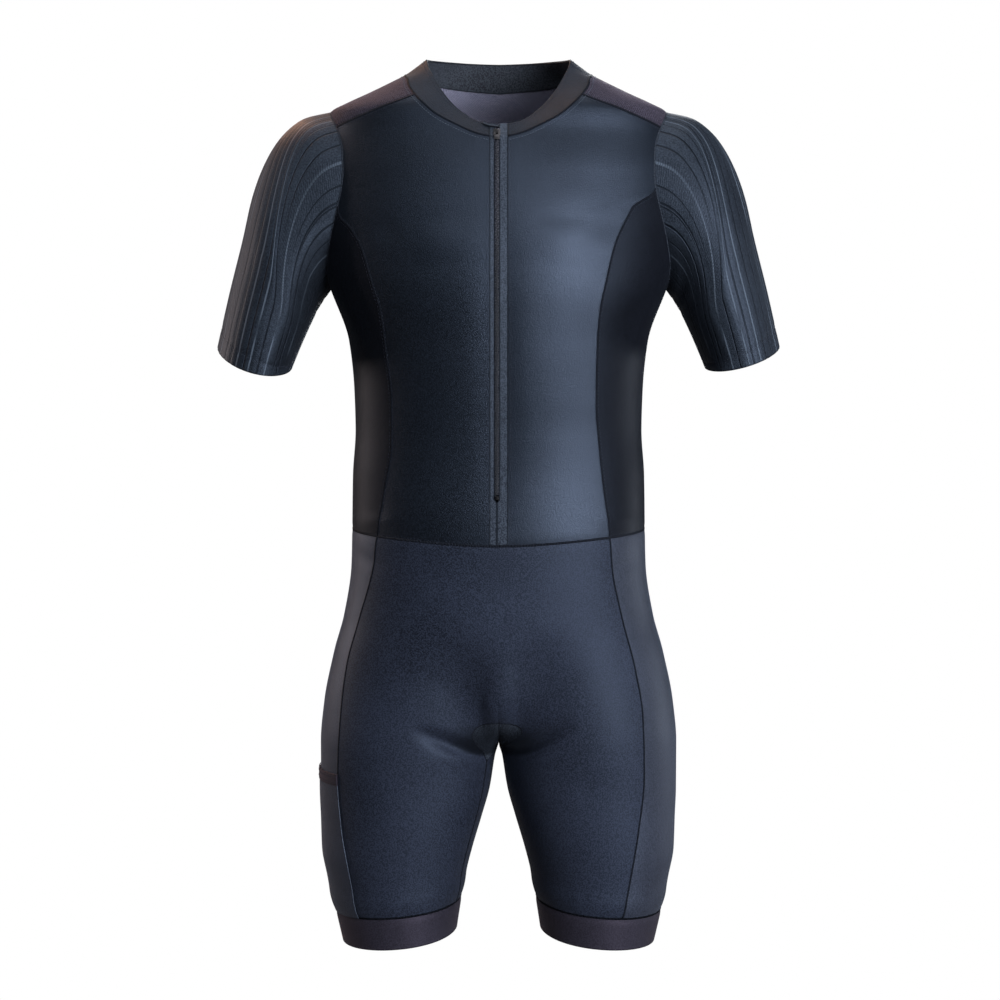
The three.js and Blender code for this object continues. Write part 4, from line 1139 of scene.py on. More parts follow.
def stitched_lines(side):
    """Every line of stitching on the body of one side, by name."""
    upper, lower = UPPER[side], LOWER[side]
    front_waist = waist_run(0, upper["waist_front"][-1][0], 40)
    inner_leg = lower["inseam"][-1][0]
    runs = {
        **{name: upper[name] for name in ("front_seam", "back_seam", "yoke", "zip_edge")},
        **{name: lower[name] for name in ("gusset_front", "gusset_back", "inseam")},
        "hip_front": lower["front_seam"],
        "hip_back": lower["back_seam"],
        "armhole": join(*(upper[name] for name in ARMHOLE_PARTS)),
        "neck": join(*(upper[name] for name in NECK_PARTS)),
        "waist": join(front_waist, upper["waist_side"], upper["waist_back"]),
        "hem_band": band_run(inner_leg, inner_leg + 360, 150),
    }
    return {name: line_on(side, run) for name, run in runs.items()}


LINES = {side: stitched_lines(side) for side in SIGN}
print("lines on each side:", len(LINES["left"]))

# %% Bands over the seams
for name, seams, width, height, look, slot in (
    ("flatlock_front_seams", "front_seam", 2.2, 0.4, "flatlock_thread", "side_cloth"),
    ("flatlock_back_seams", "back_seam", 3.0, 0.5, "flatlock_thread", "mesh_back"),
    ("flatlock_yoke", "yoke", 2.6, 0.4, "flatlock_thread", "mesh_back"),
    ("flatlock_neck", "neck", 2.2, 0.5, "flatlock_thread", "collar_cloth"),
    ("flatlock_armholes", "armhole", 1.5, 0.45, "armhole_thread", "ribbed_sleeve"),
    ("flatlock_waist", "waist", 2.6, 0.5, "flatlock_thread", "shorts_cloth"),
    ("flatlock_shorts_sides", "hip_front hip_back", 2.0, 0.4, "flatlock_thread", "side_cloth"),
    ("flatlock_crotch", "gusset_front gusset_back", 1.2, 0.25, "flatlock_thread", "gusset_cloth"),
    ("flatlock_inseams", "inseam", 2.4, 0.5, "flatlock_thread", "shorts_cloth"),
    ("flatlock_bands", "hem_band", 2.4, 0.5, "flatlock_thread", "band_cloth"),
):
    lines = [LINES[side][seam] for side in SIGN for seam in seams.split()]
    seam_band(name, lines, width, height, look)

# %% Topstitching beside the seams
for name, seam, distances, look, slot, length, gap, radius in (
    ("neck_topstitch", "neck", (4.2,), "topstitch_thread", "mesh_back", 2.1, 0.9, 0.3),
    ("yoke_topstitch", "yoke", (-2.9, 2.9), "topstitch_dark_thread", "mesh_back", 2.1, 0.9, 0.3),
    ("waist_topstitch", "waist", (-2.3, 2.3), "topstitch_dark_thread", "shorts_cloth", 2, 1.6, 0.25),
    ("front_seam_topstitch", "front_seam", (-2, 2), "topstitch_dark_thread", "sheen_front", 2, 1.6, 0.22),
    ("zip_topstitch", "zip_edge", (-2.4,), "topstitch_dark_thread", "sheen_front", 2, 1.2, 0.22),
    ("hem_band_topstitch", "hem_band", (-2.3, 2.3), "topstitch_dark_thread", "band_cloth", 2, 1.4, 0.24),
):
    rows = [beside(LINES[side][seam], SIGN[side] * way) for side in SIGN for way in distances]
    stitch_rows(name, rows, look, length, gap, radius)

# %% [markdown]
# ## Upper panels
# The front is two panels beside the zip, each from the collar seam over the chest to the waist,
# with the sleeve and the side panel along its outer edge. The back is one panel that comes over
# both shoulders to a yoke seam in front, as raglan-backed race suits are often cut.

# %% Front and side panels
def front_patch(side):
    seams = UPPER[side]
    outer = join(seams["yoke"], seams["arm_front"], seams["front_seam"])
    return body_patch(
        side, coons_grid(seams["neck_front"], seams["waist_front"], seams["zip_edge"], outer)
    )


def side_patch(side):
    seams = UPPER[side]
    return body_patch(
        side,
        coons_grid(
            seams["arm_under"], seams["waist_side"], seams["front_seam"], seams["back_seam"]
        ),
    )


FRONT_CUT, SIDE_CUT = (0.19, 0.42), (0.26, 0.36)
for side in SIGN:
    front, flank = [front_patch(side)], [side_patch(side)]
    names = "front_panel_" + side, "side_panel_" + side
    sheet_of(names[0], front, CLOTH, "sheen_front_knit", "sheen_front", "front_" + side, FRONT_CUT)
    sheet_of(names[1], flank, CLOTH, "side_knit", "side_cloth", "side_" + side, SIDE_CUT)


# %% Back with its shoulders
def back_patches(side):
    seams = UPPER[side]
    shoulder = coons_grid(
        seams["neck_shoulder"], seams["arm_top"][::-1], seams["yoke"], seams["blade_line"][::-1]
    )
    middle = join(
        np.linspace(NECK_SEAM["z"](180), BLADE_Z, COUNT["arm_blade"] + 1),
        np.linspace(BLADE_Z, waist_z(180), COUNT["back_seam"] + 1),
    )
    lower = coons_grid(
        join(seams["blade_line"], seams["neck_back"]),
        seams["waist_back"],
        join(seams["arm_blade"][::-1], seams["back_seam"]),
        places(180, middle),
    )
    return [body_patch(side, shoulder, "tbs"), body_patch(side, lower, "bs")]


both_halves = back_patches("left") + back_patches("right")
back = ("back_panel", both_halves, CLOTH, "mesh_knit", "mesh_back", "back", (0.5, 0.52))
# The back's inner face is painted lighter than its outer face: painted light.
sheet_of(*back, inside="mesh_inside_knit")

# %% [markdown]
# ## Sleeves
# A sleeve is set into the armhole and falls outwards. It is drawn as rings: the first ring is the
# armhole itself, and over the first half of the length the rings ease into plain ellipses. Its
# knit has fine lines that start close together on the shoulder and spread like a fan, because the
# tube of cloth is turned out of the arm's way. So each column of the grid follows one such line.

# %% Sleeve rings
SLEEVE = table(
    "share outer_x outer_z inner_x inner_z half_depth",
    [
        (0, 170, -38, 172, -218, 62),
        (0.1, 196, -44, 177, -225, 63),
        (0.2, 219, -61, 182, -232, 63),
        (0.32, 238, -90, 187, -241, 62),
        (0.45, 251, -124, 192, -252, 61),
        (0.6, 261, -166, 198, -265, 59),
        (0.8, 275, -220, 205, -281, 57),
        (1, 288, -275, 212, -298, 55),
    ],
)
SLEEVE_FRONT_DROP = {"left": 9, "right": 15}
SLEEVE_LENGTH, RIB_STEP, RIB_HEIGHT, RIB_END = 240, 11, 0.4, 104


def sleeve_ring(side, turn, share):
    """Plain ellipse of one ring: the turn is 0 outside, 90 in front and 180 inside."""
    turn, share = np.broadcast_arrays(np.asarray(turn, float), np.asarray(share, float))
    outer = np.stack([SLEEVE["outer_x"](share), 0 * share, SLEEVE["outer_z"](share)], axis=-1)
    inner = np.stack([SLEEVE["inner_x"](share), 0 * share, SLEEVE["inner_z"](share)], axis=-1)
    forward = np.sin(np.radians(turn))
    point = (outer + inner) / 2 + (outer - inner) / 2 * np.cos(np.radians(turn))[..., None]
    point[..., 1] -= SLEEVE["half_depth"](share) * forward
    point[..., 2] -= SLEEVE_FRONT_DROP[side] * share * forward
    point[..., 0] *= SIGN[side]
    return point


def armhole_edge(side):
    """Points of the armhole on the creased cloth, and their turns from 37 to 397 degrees."""
    seams = UPPER[side]
    stops = (ARM_YOKE, ARM_FRONT[side], ARM_BACK, ARM_BLADE, 360 + ARM_YOKE)
    spans = zip(ARMHOLE_PARTS, stops, stops[1:])
    turns = join(*(np.linspace(first, last, len(seams[name])) for name, first, last in spans))
    points, normals = LINES[side]["armhole"]
    return turns, points, normals


def wrapped_turn(turn):
    return np.where(turn < ARM_YOKE, turn + 360, turn)


def sleeve_point(side, turn, share):
    """The ring, plus what the armhole differs from the first ring, fading over half the length."""
    turn, share = np.broadcast_arrays(np.asarray(turn, float), np.asarray(share, float))
    turns, points, _ = armhole_edge(side)
    edge = look_up(turns, points, wrapped_turn(turn))
    held = 1 - ease(share / 0.55)
    return sleeve_ring(side, turn, share) + (edge - sleeve_ring(side, turn, 0)) * held[..., None]


def sleeve_grid(side, turn, share):
    """Points and outward directions for a grid of turns and shares of the length."""
    point = sleeve_point(side, turn, share)
    step = 0.004
    along = sleeve_point(side, turn, np.minimum(share + step, 1)) - sleeve_point(
        side, turn, np.maximum(share - step, 0)
    )
    around = sleeve_point(side, turn + 0.5, share) - sleeve_point(side, turn - 0.5, share)
    return point, unit(np.cross(around, along) * SIGN[side])


# %% Lines that fan out
FAN_STARTS = np.array([0, 10, 20, 32, 44, 60, 76, 90, 108, 136, 180])
FAN_ENDS = np.array([0, 42, 66, 92, 101, 108, 115, 122, 131, 146, 180])
turn_at_armhole = monotone_curve(
    np.concatenate([-FAN_ENDS[:0:-1], FAN_ENDS]), np.concatenate([-FAN_STARTS[:0:-1], FAN_STARTS])
)


def fan_turn(line, share):
    """A line leaves the armhole at one turn and eases to another, where it then stays."""
    start = turn_at_armhole(line)
    length = 0.6 - 0.12 * ease((105 - np.abs(line)) / 30)
    return start + (line - start) * ease((share - 0.03) / length)


def rib_height(line, share):
    """Rounded ribs between the lines, rising from the armhole seam and fading under the arm."""
    wave = np.abs(np.sin(np.pi * line / RIB_STEP)) ** 0.6
    return RIB_HEIGHT * wave * ease((RIB_END - np.abs(line)) / 14) * ease((share - 0.04) / 0.2)


def sleeve_folds(turn, share):
    """Where the arm hangs, the cloth buckles a little in the armpit and bends above the hem."""
    inside = ease((np.abs(turn) - 118) / 24)
    ripple = np.sin(share * 34 + turn * 0.03) * np.exp(-(((share - 0.22) / 0.2) ** 2))
    hem = np.exp(-(((share - 0.93) / 0.012) ** 2)) * -0.5
    return inside * ripple * 0.4 + hem


def sleeve_cloth_point(side, line, share):
    """A place on the finished sleeve: on its rings, out by the ribs and the folds."""
    line, share = np.broadcast_arrays(np.asarray(line, float), np.asarray(share, float))
    turn = fan_turn(line, share)
    point, normal = sleeve_grid(side, turn, share)
    lift = rib_height(line, share) + sleeve_folds(turn, share)
    return point + normal * lift[..., None], normal


def sleeve_patch(side):
    """The cloth lengths here count the fan's degrees across, and millimetres along."""
    line, share = np.meshgrid(np.linspace(-180, 180, 289), np.linspace(0, 1, 90))
    patch = Patch(*sleeve_cloth_point(side, line, share), "tb")
    patch.uv = np.stack([line, -share * SLEEVE_LENGTH], axis=-1) * MM
    return patch


print("a line 42 degrees round at the hem starts at", round(float(turn_at_armhole(42)), 1))

# %% [markdown]
# ### The sleeve's knit
# The sleeves are a ribbed race fabric: thin dark and pale lines between the ribs, which come
# and go, short dashes on the inside, and plain cloth under the arm. The dark lines are grooves
# with painted shade in them, and the pale ones low ridges with a painted highlight. An image could
# hold them, but the lines have to follow the fan exactly. So the UV map counts the fan's degrees
# across, and each line is where those degrees come near a whole number of ribs.

# %% Ribbed knit
def sleeve_knit():
    """Rib lines of painted shade or highlight that come and go; dashes inside; plain under the arm."""
    finish = Finish(
        "ribbed_sleeve_knit",
        Sheen_Weight=0.1,
        Sheen_Roughness=0.4,
        Sheen_Tint=colour(*SILVER_BLUE),
        Specular_Tint=colour(*SILVER_BLUE),
        Specular_IOR_Level=0.45,
    )
    turn, along = finish.cloth()
    share = along / -SLEEVE_LENGTH
    size = turn.maths("ABSOLUTE")

    def chance(index):
        return finish.node("TexWhiteNoise", {"noise_dimensions": "1D"}, {"W": index})

    def line_at(offset, width):
        index = ((turn + offset) / RIB_STEP).maths("ROUND")
        shifted = index + chance(index + 0.5) * 0.5 - 0.25
        away = (turn + offset - shifted * RIB_STEP).maths("ABSOLUTE")
        return index, (away * (spread * 1.3 + 1.0)).step(width, width * 0.35)

    spread = size.step(84.0, 100.0) * share.step(0.55, 0.05)
    index, main = line_at(0.0, 1.45)
    place = finish.node("CombineXYZ", (), {0: index * 5.1, 1: share * 2.4})
    main = main * finish.noise(place, 1.0, 1.0).step(0.34, 0.5)
    is_pale = chance(index).step(0.62, 0.66)
    short = line_at(RIB_STEP / 2, 1.0)[1] * share.step(0.4, 0.2) * size.step(60.0, 80.0)
    bricks = along / 2.6 + (turn / 3.0).maths("FLOOR") * 0.5
    inner = size + share * 24.0
    dashed = inner.step(108.0, 112.0) * inner.step(131.0, 127.0)
    dashes = finish.wave(bricks).step(0.45, 0.75) * dashed
    under = inner.step(130.0, 137.0) * share.step(1.02, 0.9)
    # Painted shade: each sleeve is darkened from its front towards its outer side.
    painted_outer_shade = size.step(112.0, 60.0)
    diagonal = finish.wave((turn * 0.8 + along) / 1.7) * 0.5 + finish.wave(turn / 0.9) * 0.5
    broad = finish.noise(finish.position(), 9.0, 4.0).step(0.3, 0.7)
    grain = finish.noise(finish.position(), 640.0, 2.0).step(0.28, 0.72)
    shade = diagonal * 0.15 + grain * 0.55 + broad * 0.3
    # The dark lines are grooves with painted shade, the pale ones ridges with a painted highlight.
    groove_with_painted_shade, ridge_with_painted_highlight = main * (1.0 - is_pale), main * is_pale
    cloth = finish.blend(shade, colour(15, 18, 24), colour(57, 65, 77))
    cloth = finish.blend(painted_outer_shade * 0.35, cloth, colour(15, 18, 24))
    cloth = finish.blend(groove_with_painted_shade, cloth, colour(1, 2, 4))
    cloth = finish.blend(ridge_with_painted_highlight * 0.6, cloth, colour(104, 116, 132))
    cloth = finish.blend(short * 0.9, cloth, BLACK)
    cloth = finish.blend(dashes * 0.5, cloth, BLACK)
    cloth = finish.blend(under * 0.6, cloth, BLACK)
    # Painted shade: darker within about 2 mm of the armhole seam and the hem.
    near = finish.edge().step(2.2, 0.2)
    height = diagonal * 0.1 + grain * 0.25 + ridge_with_painted_highlight * 0.3
    height = height - groove_with_painted_shade - short * 0.8 - dashes * 0.5
    finish.feed(
        Base_Color=finish.blend(near * 0.7, cloth, BLACK),
        Roughness=broad * 0.1 + 0.46,
        Normal=finish.bump(height, 1.0, 0.0004),
    )
    return finish.material


sleeve_knit()
for side in SIGN:
    name, cloth, node = "ribbed_sleeve_" + side, [sleeve_patch(side)], "sleeve_" + side
    sheet_of(name, cloth, CLOTH, "ribbed_sleeve_knit", "ribbed_sleeve", node, (0.4, 0.3))

# %% Stitches of the sleeve hems
hem_lines = np.linspace(-180, 180, 241)
hem_rows = [
    sleeve_cloth_point(side, hem_lines, share) for side in SIGN for share in (0.925, 0.937)
]
stitch_rows(
    "sleeve_hem_stitch", hem_rows, "topstitch_dark_thread", 2.0, 1.2, 0.24
)

# %% [markdown]
# ## Collar
# A low stand collar of doubled knit. It rises from the neck seam and leans in to its top edge,
# which is a smaller ring. Straight lines join the two, and its ends stand beside the zip.

# %% Collar ring
COLLAR_TOP = table(
    "angle radius z",
    [
        (0, 79, -56),
        (15, 77, -52),
        (33, 74, -39),
        (50, 74, -20),
        (68, 74, 1),
        (90, 73, 15),
        (130, 63, 16),
        (180, 56, 15),
    ],
)
END_ANGLE = {side: UPPER[side]["neck_front"][0][0] for side in SIGN}
NECK_HALF_WIDTH, NECK_HALF_DEPTH = 92, 78


def collar_point(side, angle, share):
    """A straight line from the neck seam to the top ring, drawn over the zip's edge at the ends."""
    angle, share = np.broadcast_arrays(np.asarray(angle, float), np.asarray(share, float))
    foot = body_point(side, angle, NECK_SEAM["z"](angle))
    end = body_point(side, END_ANGLE[side], NECK_SEAM["z"](END_ANGLE[side]))
    end_round = np.arctan2(abs(end[0]) / NECK_HALF_WIDTH, -end[1] / NECK_HALF_DEPTH)
    shift = FRONT_EDGE[side] - COLLAR_TOP["radius"](np.degrees(end_round)) * np.sin(end_round)
    fade = 1 - ease((angle - END_ANGLE[side]) / 35)
    turn = np.arctan2(np.abs(foot[..., 0]) / NECK_HALF_WIDTH, -foot[..., 1] / NECK_HALF_DEPTH)
    radius = COLLAR_TOP["radius"](np.degrees(turn))
    x = SIGN[side] * (radius * np.sin(turn) + shift * fade)
    top = np.stack([x, -radius * np.cos(turn), COLLAR_TOP["z"](np.degrees(turn))], axis=-1)
    return mix(foot, top, share[..., None])


def collar_normal(side, angle, share):
    along = collar_point(side, angle, 1) - collar_point(side, angle, 0)
    around = collar_point(side, angle + 1, share) - collar_point(side, angle - 1, share)
    own = unit(np.cross(around, along) * SIGN[side])
    start = body_normal(side, angle, NECK_SEAM["z"](angle))
    normal = mix(start, own, ease(share)[..., None])
    normal[..., 0] = np.where(angle == END_ANGLE[side], 0, normal[..., 0])
    return unit(normal)


def collar_angles(side):
    return join(*(UPPER[side][name] for name in NECK_PARTS))[:, 0]


def collar_patch(side):
    angle, share = np.meshgrid(collar_angles(side), np.linspace(0, 1, 15))
    return Patch(collar_point(side, angle, share), collar_normal(side, angle, share), "tbs")


halves = [collar_patch("left"), collar_patch("right")]
collar = ("stand_collar", halves, BAND, "collar_knit", "collar_cloth", "collar", (0.56, 0.05))
# The collar's inner face is painted lighter than its outer face: painted light.
sheet_of(*collar, inside="collar_inside_knit")


# %% Stitches of the collar
def collar_line(side, share):
    angle = collar_angles(side)
    return collar_point(side, angle, share), collar_normal(side, angle, share)


collar_rows = [collar_line(side, 0.86) for side in SIGN]
stitch_rows(
    "collar_topstitch", collar_rows, "topstitch_dark_thread", 2.1, 0.9, 0.3
)

# %% [markdown]
# ## Shorts
# The legs are cut from a front, a back and a side panel for each hip, with a gusset under the
# crotch, where four seams would otherwise meet and chafe. The front is one piece over both legs.


# %% Shorts panels
def shorts_patch(side, is_back):
    seams, upper = LOWER[side], UPPER[side]
    centre = 180 if is_back else 0
    end = GUSSET["back_z"] if is_back else GUSSET["front_z"]
    middle = places(centre, np.linspace(waist_z(centre), end, ROWS["hip"] + 1))
    turned = seams["inseam"] + np.array([centre, 0.0])
    inner = join(middle, seams["gusset_back" if is_back else "gusset_front"], turned)
    outer = seams["back_seam" if is_back else "front_seam"]
    columns = len(upper["waist_back" if is_back else "waist_front"]) - 1
    top = upper["waist_back"][::-1] if is_back else waist_run(0, outer[0][0], columns)
    bottom = band_run(inner[-1][0], outer[-1][0], columns)
    return body_patch(side, coons_grid(top, bottom, inner, outer), "tbe")


def shorts_side_grid(side):
    seams, top = LOWER[side], UPPER[side]["waist_side"]
    bottom = band_run(seams["front_seam"][-1][0], seams["back_seam"][-1][0], len(top) - 1)
    return coons_grid(top, bottom, seams["front_seam"], seams["back_seam"])


for face, is_back, cut in (("front", False, (0.42, 0.42)), ("back", True, (0.46, 0.42))):
    name, node = "shorts_" + face + "_panel", "shorts_" + face
    halves = [shorts_patch(side, is_back) for side in SIGN]
    sheet_of(name, halves, CLOTH, "shorts_knit", "shorts_cloth", node, cut)
for side in SIGN:
    name, node = "shorts_side_panel_" + side, "shorts_side_" + side
    hip = [body_patch(side, shorts_side_grid(side))]
    sheet_of(name, hip, CLOTH, "shorts_side_knit", "side_cloth", node, (0.26, 0.42))

# %% [markdown]
# ## Gusset
# A gusset is a small saddle of cloth between the legs. It could be a subdivided cage, but it
# has to lie on the same fork of the body as the panels that it is sewn to. So its rows run on
# that surface, from the centre line, which dives to the crotch, out to the seam.

# %% Crotch gusset
def gusset_patches(side):
    """Rows that run straight from the centre line, which dives to the crotch, to its seam."""
    seams, count = LOWER[side], ROWS["gusset"]
    dive = np.sin(np.linspace(0, np.pi / 2, count + 1))
    found = []
    for centre, top, seam in (
        (0, GUSSET["front_z"], "gusset_front"),
        (180, GUSSET["back_z"], "gusset_back"),
    ):
        start = places(centre, mix(top, CROTCH_Z, dive))
        share = np.linspace(0, 1, 13)[None, :, None]
        grid = mix(start[:, None], seams[seam][:, None], share)
        found.append(body_patch(side, grid, "e"))
    return found


halves = gusset_patches("left") + gusset_patches("right")
gusset = ("crotch_gusset_panel", halves, CLOTH, "gusset_knit", "gusset_cloth", "crotch_gusset")
sheet_of(*gusset, (0.08, 0.12))

# %% [markdown]
# ## Hem bands
# A doubled elastic band with a grippy inside ends each leg. It is a ring of the leg's own
# surface, from the seam to the hem, with a thicker wall, and it bites in at its seam because
# the cloth above swells a little.

# %% Hem bands
def hem_band_patch(side):
    seams, upper = LOWER[side], UPPER[side]
    inseam = seams["inseam"][-1][0]
    front, back = seams["front_seam"][-1][0], seams["back_seam"][-1][0]
    round_leg = join(
        band_run(inseam, front, len(upper["waist_front"]) - 1),
        band_run(front, back, len(upper["waist_side"]) - 1),
        band_run(back, inseam + 180, len(upper["waist_back"]) - 1),
    )
    share = np.linspace(0, 1, 15)[:, None]
    heights = mix(round_leg[:, 1], hem_z(round_leg[:, 0]), share)
    return body_patch(side, places(round_leg[:, 0], heights), "tb")


for side in SIGN:
    name, hem, node = "gripper_band_" + side, [hem_band_patch(side)], "hem_band_" + side
    sheet_of(name, hem, BAND, "band_knit", "band_cloth", node, (0.46, 0.04))

# %% [markdown]
# ## Pocket
# A race suit often has a flat pocket on the thigh for gels. It is a second layer over the
# side panel, open at the top, where a folded binding keeps it from stretching. It could be
# shrink-wrapped on, but the side panel's own rows, lifted by both walls, fit it exactly.

# %% Thigh pocket
def pocket_patches():
    """The side panel's own rows, from the pocket's mouth down, for the pocket and its binding."""
    grid = shorts_side_grid("right")
    mouth = ROWS["hip"] + ROWS["gusset"]
    foot = int(np.argmax(grid[mouth:, 0, 1] < POCKET_MOUTH_Z - POCKET_BINDING))
    below, above = grid[mouth + foot :], grid[mouth : mouth + foot + 1]
    return body_patch("right", below), body_patch("right", above)


POCKET_WALL, BINDING_WALL, POCKET_AIR = 1.2, 1.8, 0.3
pocket, binding = pocket_patches()
bag = ("pocket_panel", [pocket], POCKET_WALL, "shorts_side_knit", "side_cloth", "thigh_pocket")
edging = ("pocket_edge_binding", [binding], BINDING_WALL, "band_knit", "band_cloth")
sheet_of(*bag, (0.26, 0.15), -(POCKET_WALL + POCKET_AIR))
sheet_of(*edging, "pocket_binding", (0.24, 0.012), -(BINDING_WALL + POCKET_AIR))

# %% Stitches of the pocket's binding
lift = BINDING_WALL + POCKET_AIR + 0.02
binding_rows = [
    (binding.points[row] + binding.normals[row] * lift, binding.normals[row])
    for row in (1, len(binding.points) - 2)
]
stitch_rows(
    "pocket_binding_stitch", binding_rows, "topstitch_dark_thread", 2.0, 1.2, 0.24
)

# %% [markdown]
# ## Zip
# A nylon coil zip is two springs of thin plastic line, sewn to two woven tapes and pressed into
# each other by the slider. Each spring is made as what it is: a round line carried along a
# flattened helix that climbs the zip, half a turn behind its partner.

# %% Surface under the zip
ZIP_X, TAPE_EDGE = -1.5, 2.3
STOP_Z, STOP_LENGTH = -422, 4
TAPE_WALL, TAPE_RECESS = 1.0, 0.4
COLLAR_LEAN = (0.0, 0.3, 1.0)


def zip_body(x, z):
    """The body surface at a distance from the middle, for places on both sides of it."""
    angle = angle_at_x(np.abs(x), z)
    left, right = cloth_point("left", places(angle, z)), cloth_point("right", places(angle, z))
    is_left = (np.asarray(x) >= 0)[..., None]
    return np.where(is_left, left[0], right[0]), np.where(is_left, left[1], right[1])


def zip_collar(x, share):
    """Between the two ends of the collar, in a straight line across."""
    ends = [collar_point(side, END_ANGLE[side], share) for side in ("right", "left")]
    across = (x + FRONT_EDGE["right"]) / (FRONT_EDGE["right"] + FRONT_EDGE["left"])
    point = mix(ends[0], ends[1], across[..., None])
    rise = ends[0] - collar_point("right", END_ANGLE["right"], 0)
    is_raised = np.abs(rise).sum(axis=-1, keepdims=True) > 0
    rise = np.where(is_raised, rise, COLLAR_LEAN)
    leaning = unit(np.cross([1.0, 0.0, 0.0], rise))
    below = zip_body(x, np.full(np.shape(x), NECK_FRONT_Z))[1]
    return point, unit(mix(below, leaning, ease(share)[..., None]))


def zip_place(x, way):
    """way is 1 at the collar's top, 0 at the neck seam, and the height in mm below that."""
    x, way = np.broadcast_arrays(np.asarray(x, float), np.asarray(way, float))
    on_collar = zip_collar(x, np.clip(way, 0, 1))
    on_body = zip_body(x, np.minimum(way, NECK_FRONT_Z))
    is_collar = (way >= 0)[..., None]
    return (
        np.where(is_collar, on_collar[0], on_body[0]),
        np.where(is_collar, on_collar[1], on_body[1]),
    )


def tape_patch(side):
    """From the cloth's edge to the coil. Below the stop the two tapes close up."""
    foot = STOP_Z - STOP_LENGTH - 1
    ways = np.concatenate([np.linspace(1, 0.02, 9), np.linspace(NECK_FRONT_Z, waist_z(0), 150)])
    is_open = (ways > foot) | (ways >= 0)
    inner = ZIP_X + SIGN[side] * np.where(is_open, TAPE_EDGE - 0.15, 0.06)
    x = mix(SIGN[side] * FRONT_EDGE[side], inner[:, None], np.linspace(0, 1, 9)[None])
    points, normals = zip_place(x, np.broadcast_to(ways[:, None], x.shape))
    return Patch(points, normals, "se")


for side in SIGN:
    tape = ("zip_tape_weave_" + side, [tape_patch(side)], TAPE_WALL, "zip_tape_weave", "zip_tape")
    sheet_of(*tape, "zip_tape_" + side, (0.013, 0.42), TAPE_RECESS)

# %% [markdown]
# ### Guard
# A folded bar of tape at the collar's end covers the top of the zip, so that it doesn't
# scratch the neck. It is a small sheet over the collar, lifted clear of the tapes.

# %% Guard over the zip's end
GUARD_FROM_X, GUARD_TO_X, GUARD_FROM, GUARD_TO = -18, 0.6, 0.88, 0.7
GUARD_HEIGHT, GUARD_WALL, GUARD_LIFT = 0.18, 1.2, 1.6


def guard_patch():
    """A bar that slants down from the collar's right half over the top of the zip."""
    share = np.linspace(0, 1, 60)
    middle = mix(GUARD_FROM, GUARD_TO, share)[None]
    ways = middle + GUARD_HEIGHT * (0.5 - np.linspace(0, 1, 12)[:, None])
    x = np.broadcast_to(mix(GUARD_FROM_X, GUARD_TO_X, share)[None], ways.shape)
    points, normals = zip_collar(np.maximum(x, -FRONT_EDGE["right"]), ways)
    outer_angle = angle_at_x(np.maximum(-x, FRONT_EDGE["right"] + MM), NECK_FRONT_Z)
    outer = collar_point("right", outer_angle, ways)
    return Patch(np.where((x > -FRONT_EDGE["right"])[..., None], points, outer), normals)


guard = ("zip_guard_fold", [guard_patch()], GUARD_WALL, "zip_tape_weave", "zip_tape", "zip_guard")
sheet_of(*guard, (0.018, 0.01), -GUARD_LIFT, "folded")

# %% [markdown]
# ### Coil
# The coil's line could be a curve with a bevel. As a tube of numpy rings on the zip's own
# surface it follows every bend of the front, and needs only six sides at this size.

# %% Coil
PITCH, AXIS_X, AXIS_DEPTH = 1.5, 0.75, 0.1
RADIUS_ACROSS, RADIUS_UP, LINE_RADIUS = 1.25, 0.62, 0.3
POINTS_PER_TURN = 12


def helix(side, ways):
    """Points that go round the coil's own axis while the axis climbs the zip."""
    x = np.full(ways.shape, ZIP_X + SIGN[side] * AXIS_X)
    centre, normal = zip_place(x, ways)
    run = arc(centre[:, None], 0)[:, 0]
    phase = 2 * np.pi * (run / PITCH + (0.5 if side == "right" else 0.0))
    sideways = np.array([1.0, 0, 0]) * (SIGN[side] * RADIUS_ACROSS * np.cos(phase))[:, None]
    up = normal * (RADIUS_UP * np.sin(phase))[:, None]
    return centre - normal * AXIS_DEPTH + sideways + up, normal


COIL = Finish(
    "coil_nylon", Roughness=0.35, Specular_IOR_Level=0.5, Coat_Weight=0.2, Coat_Roughness=0.3
)
coil_shade = COIL.noise(COIL.position(), 260.0, 3.0)
COIL.feed(
    Base_Color=COIL.blend(coil_shade, colour(24, 27, 36), colour(60, 64, 76)),
    Roughness=coil_shade * 0.2 + 0.28,
)


def coil_piece(side, ways):
    """A round line of six sides carried along the helix."""
    path, normal = helix(side, ways)
    around = np.radians(np.arange(0, 360, 60))
    rings = tube(path, normal, LINE_RADIUS * np.cos(around), LINE_RADIUS * np.sin(around))
    corners = tube_quads(*rings.shape[:2])
    mesh = mesh_from_arrays("zip_coil_" + side, rings.reshape(-1, 3), corners)
    return add_object("zip_coil_" + side, mesh, "coil_nylon", SUIT)


COIL_LENGTH = NECK_FRONT_Z - STOP_Z
turns = COIL_LENGTH / PITCH
down = np.linspace(NECK_FRONT_Z - 1, STOP_Z + 0.6, int(turns * POINTS_PER_TURN))
coils = [coil_piece(side, down) for side in SIGN]
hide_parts("zip_coil")
print("coil turns on each side:", round(turns))

# %% [markdown]
# ### Metal
# The slider, its pull tab and the stop are hard pieces whose solids are already right, so
# they stay and only change their finish: dark lacquer that wears to grey in small patches.

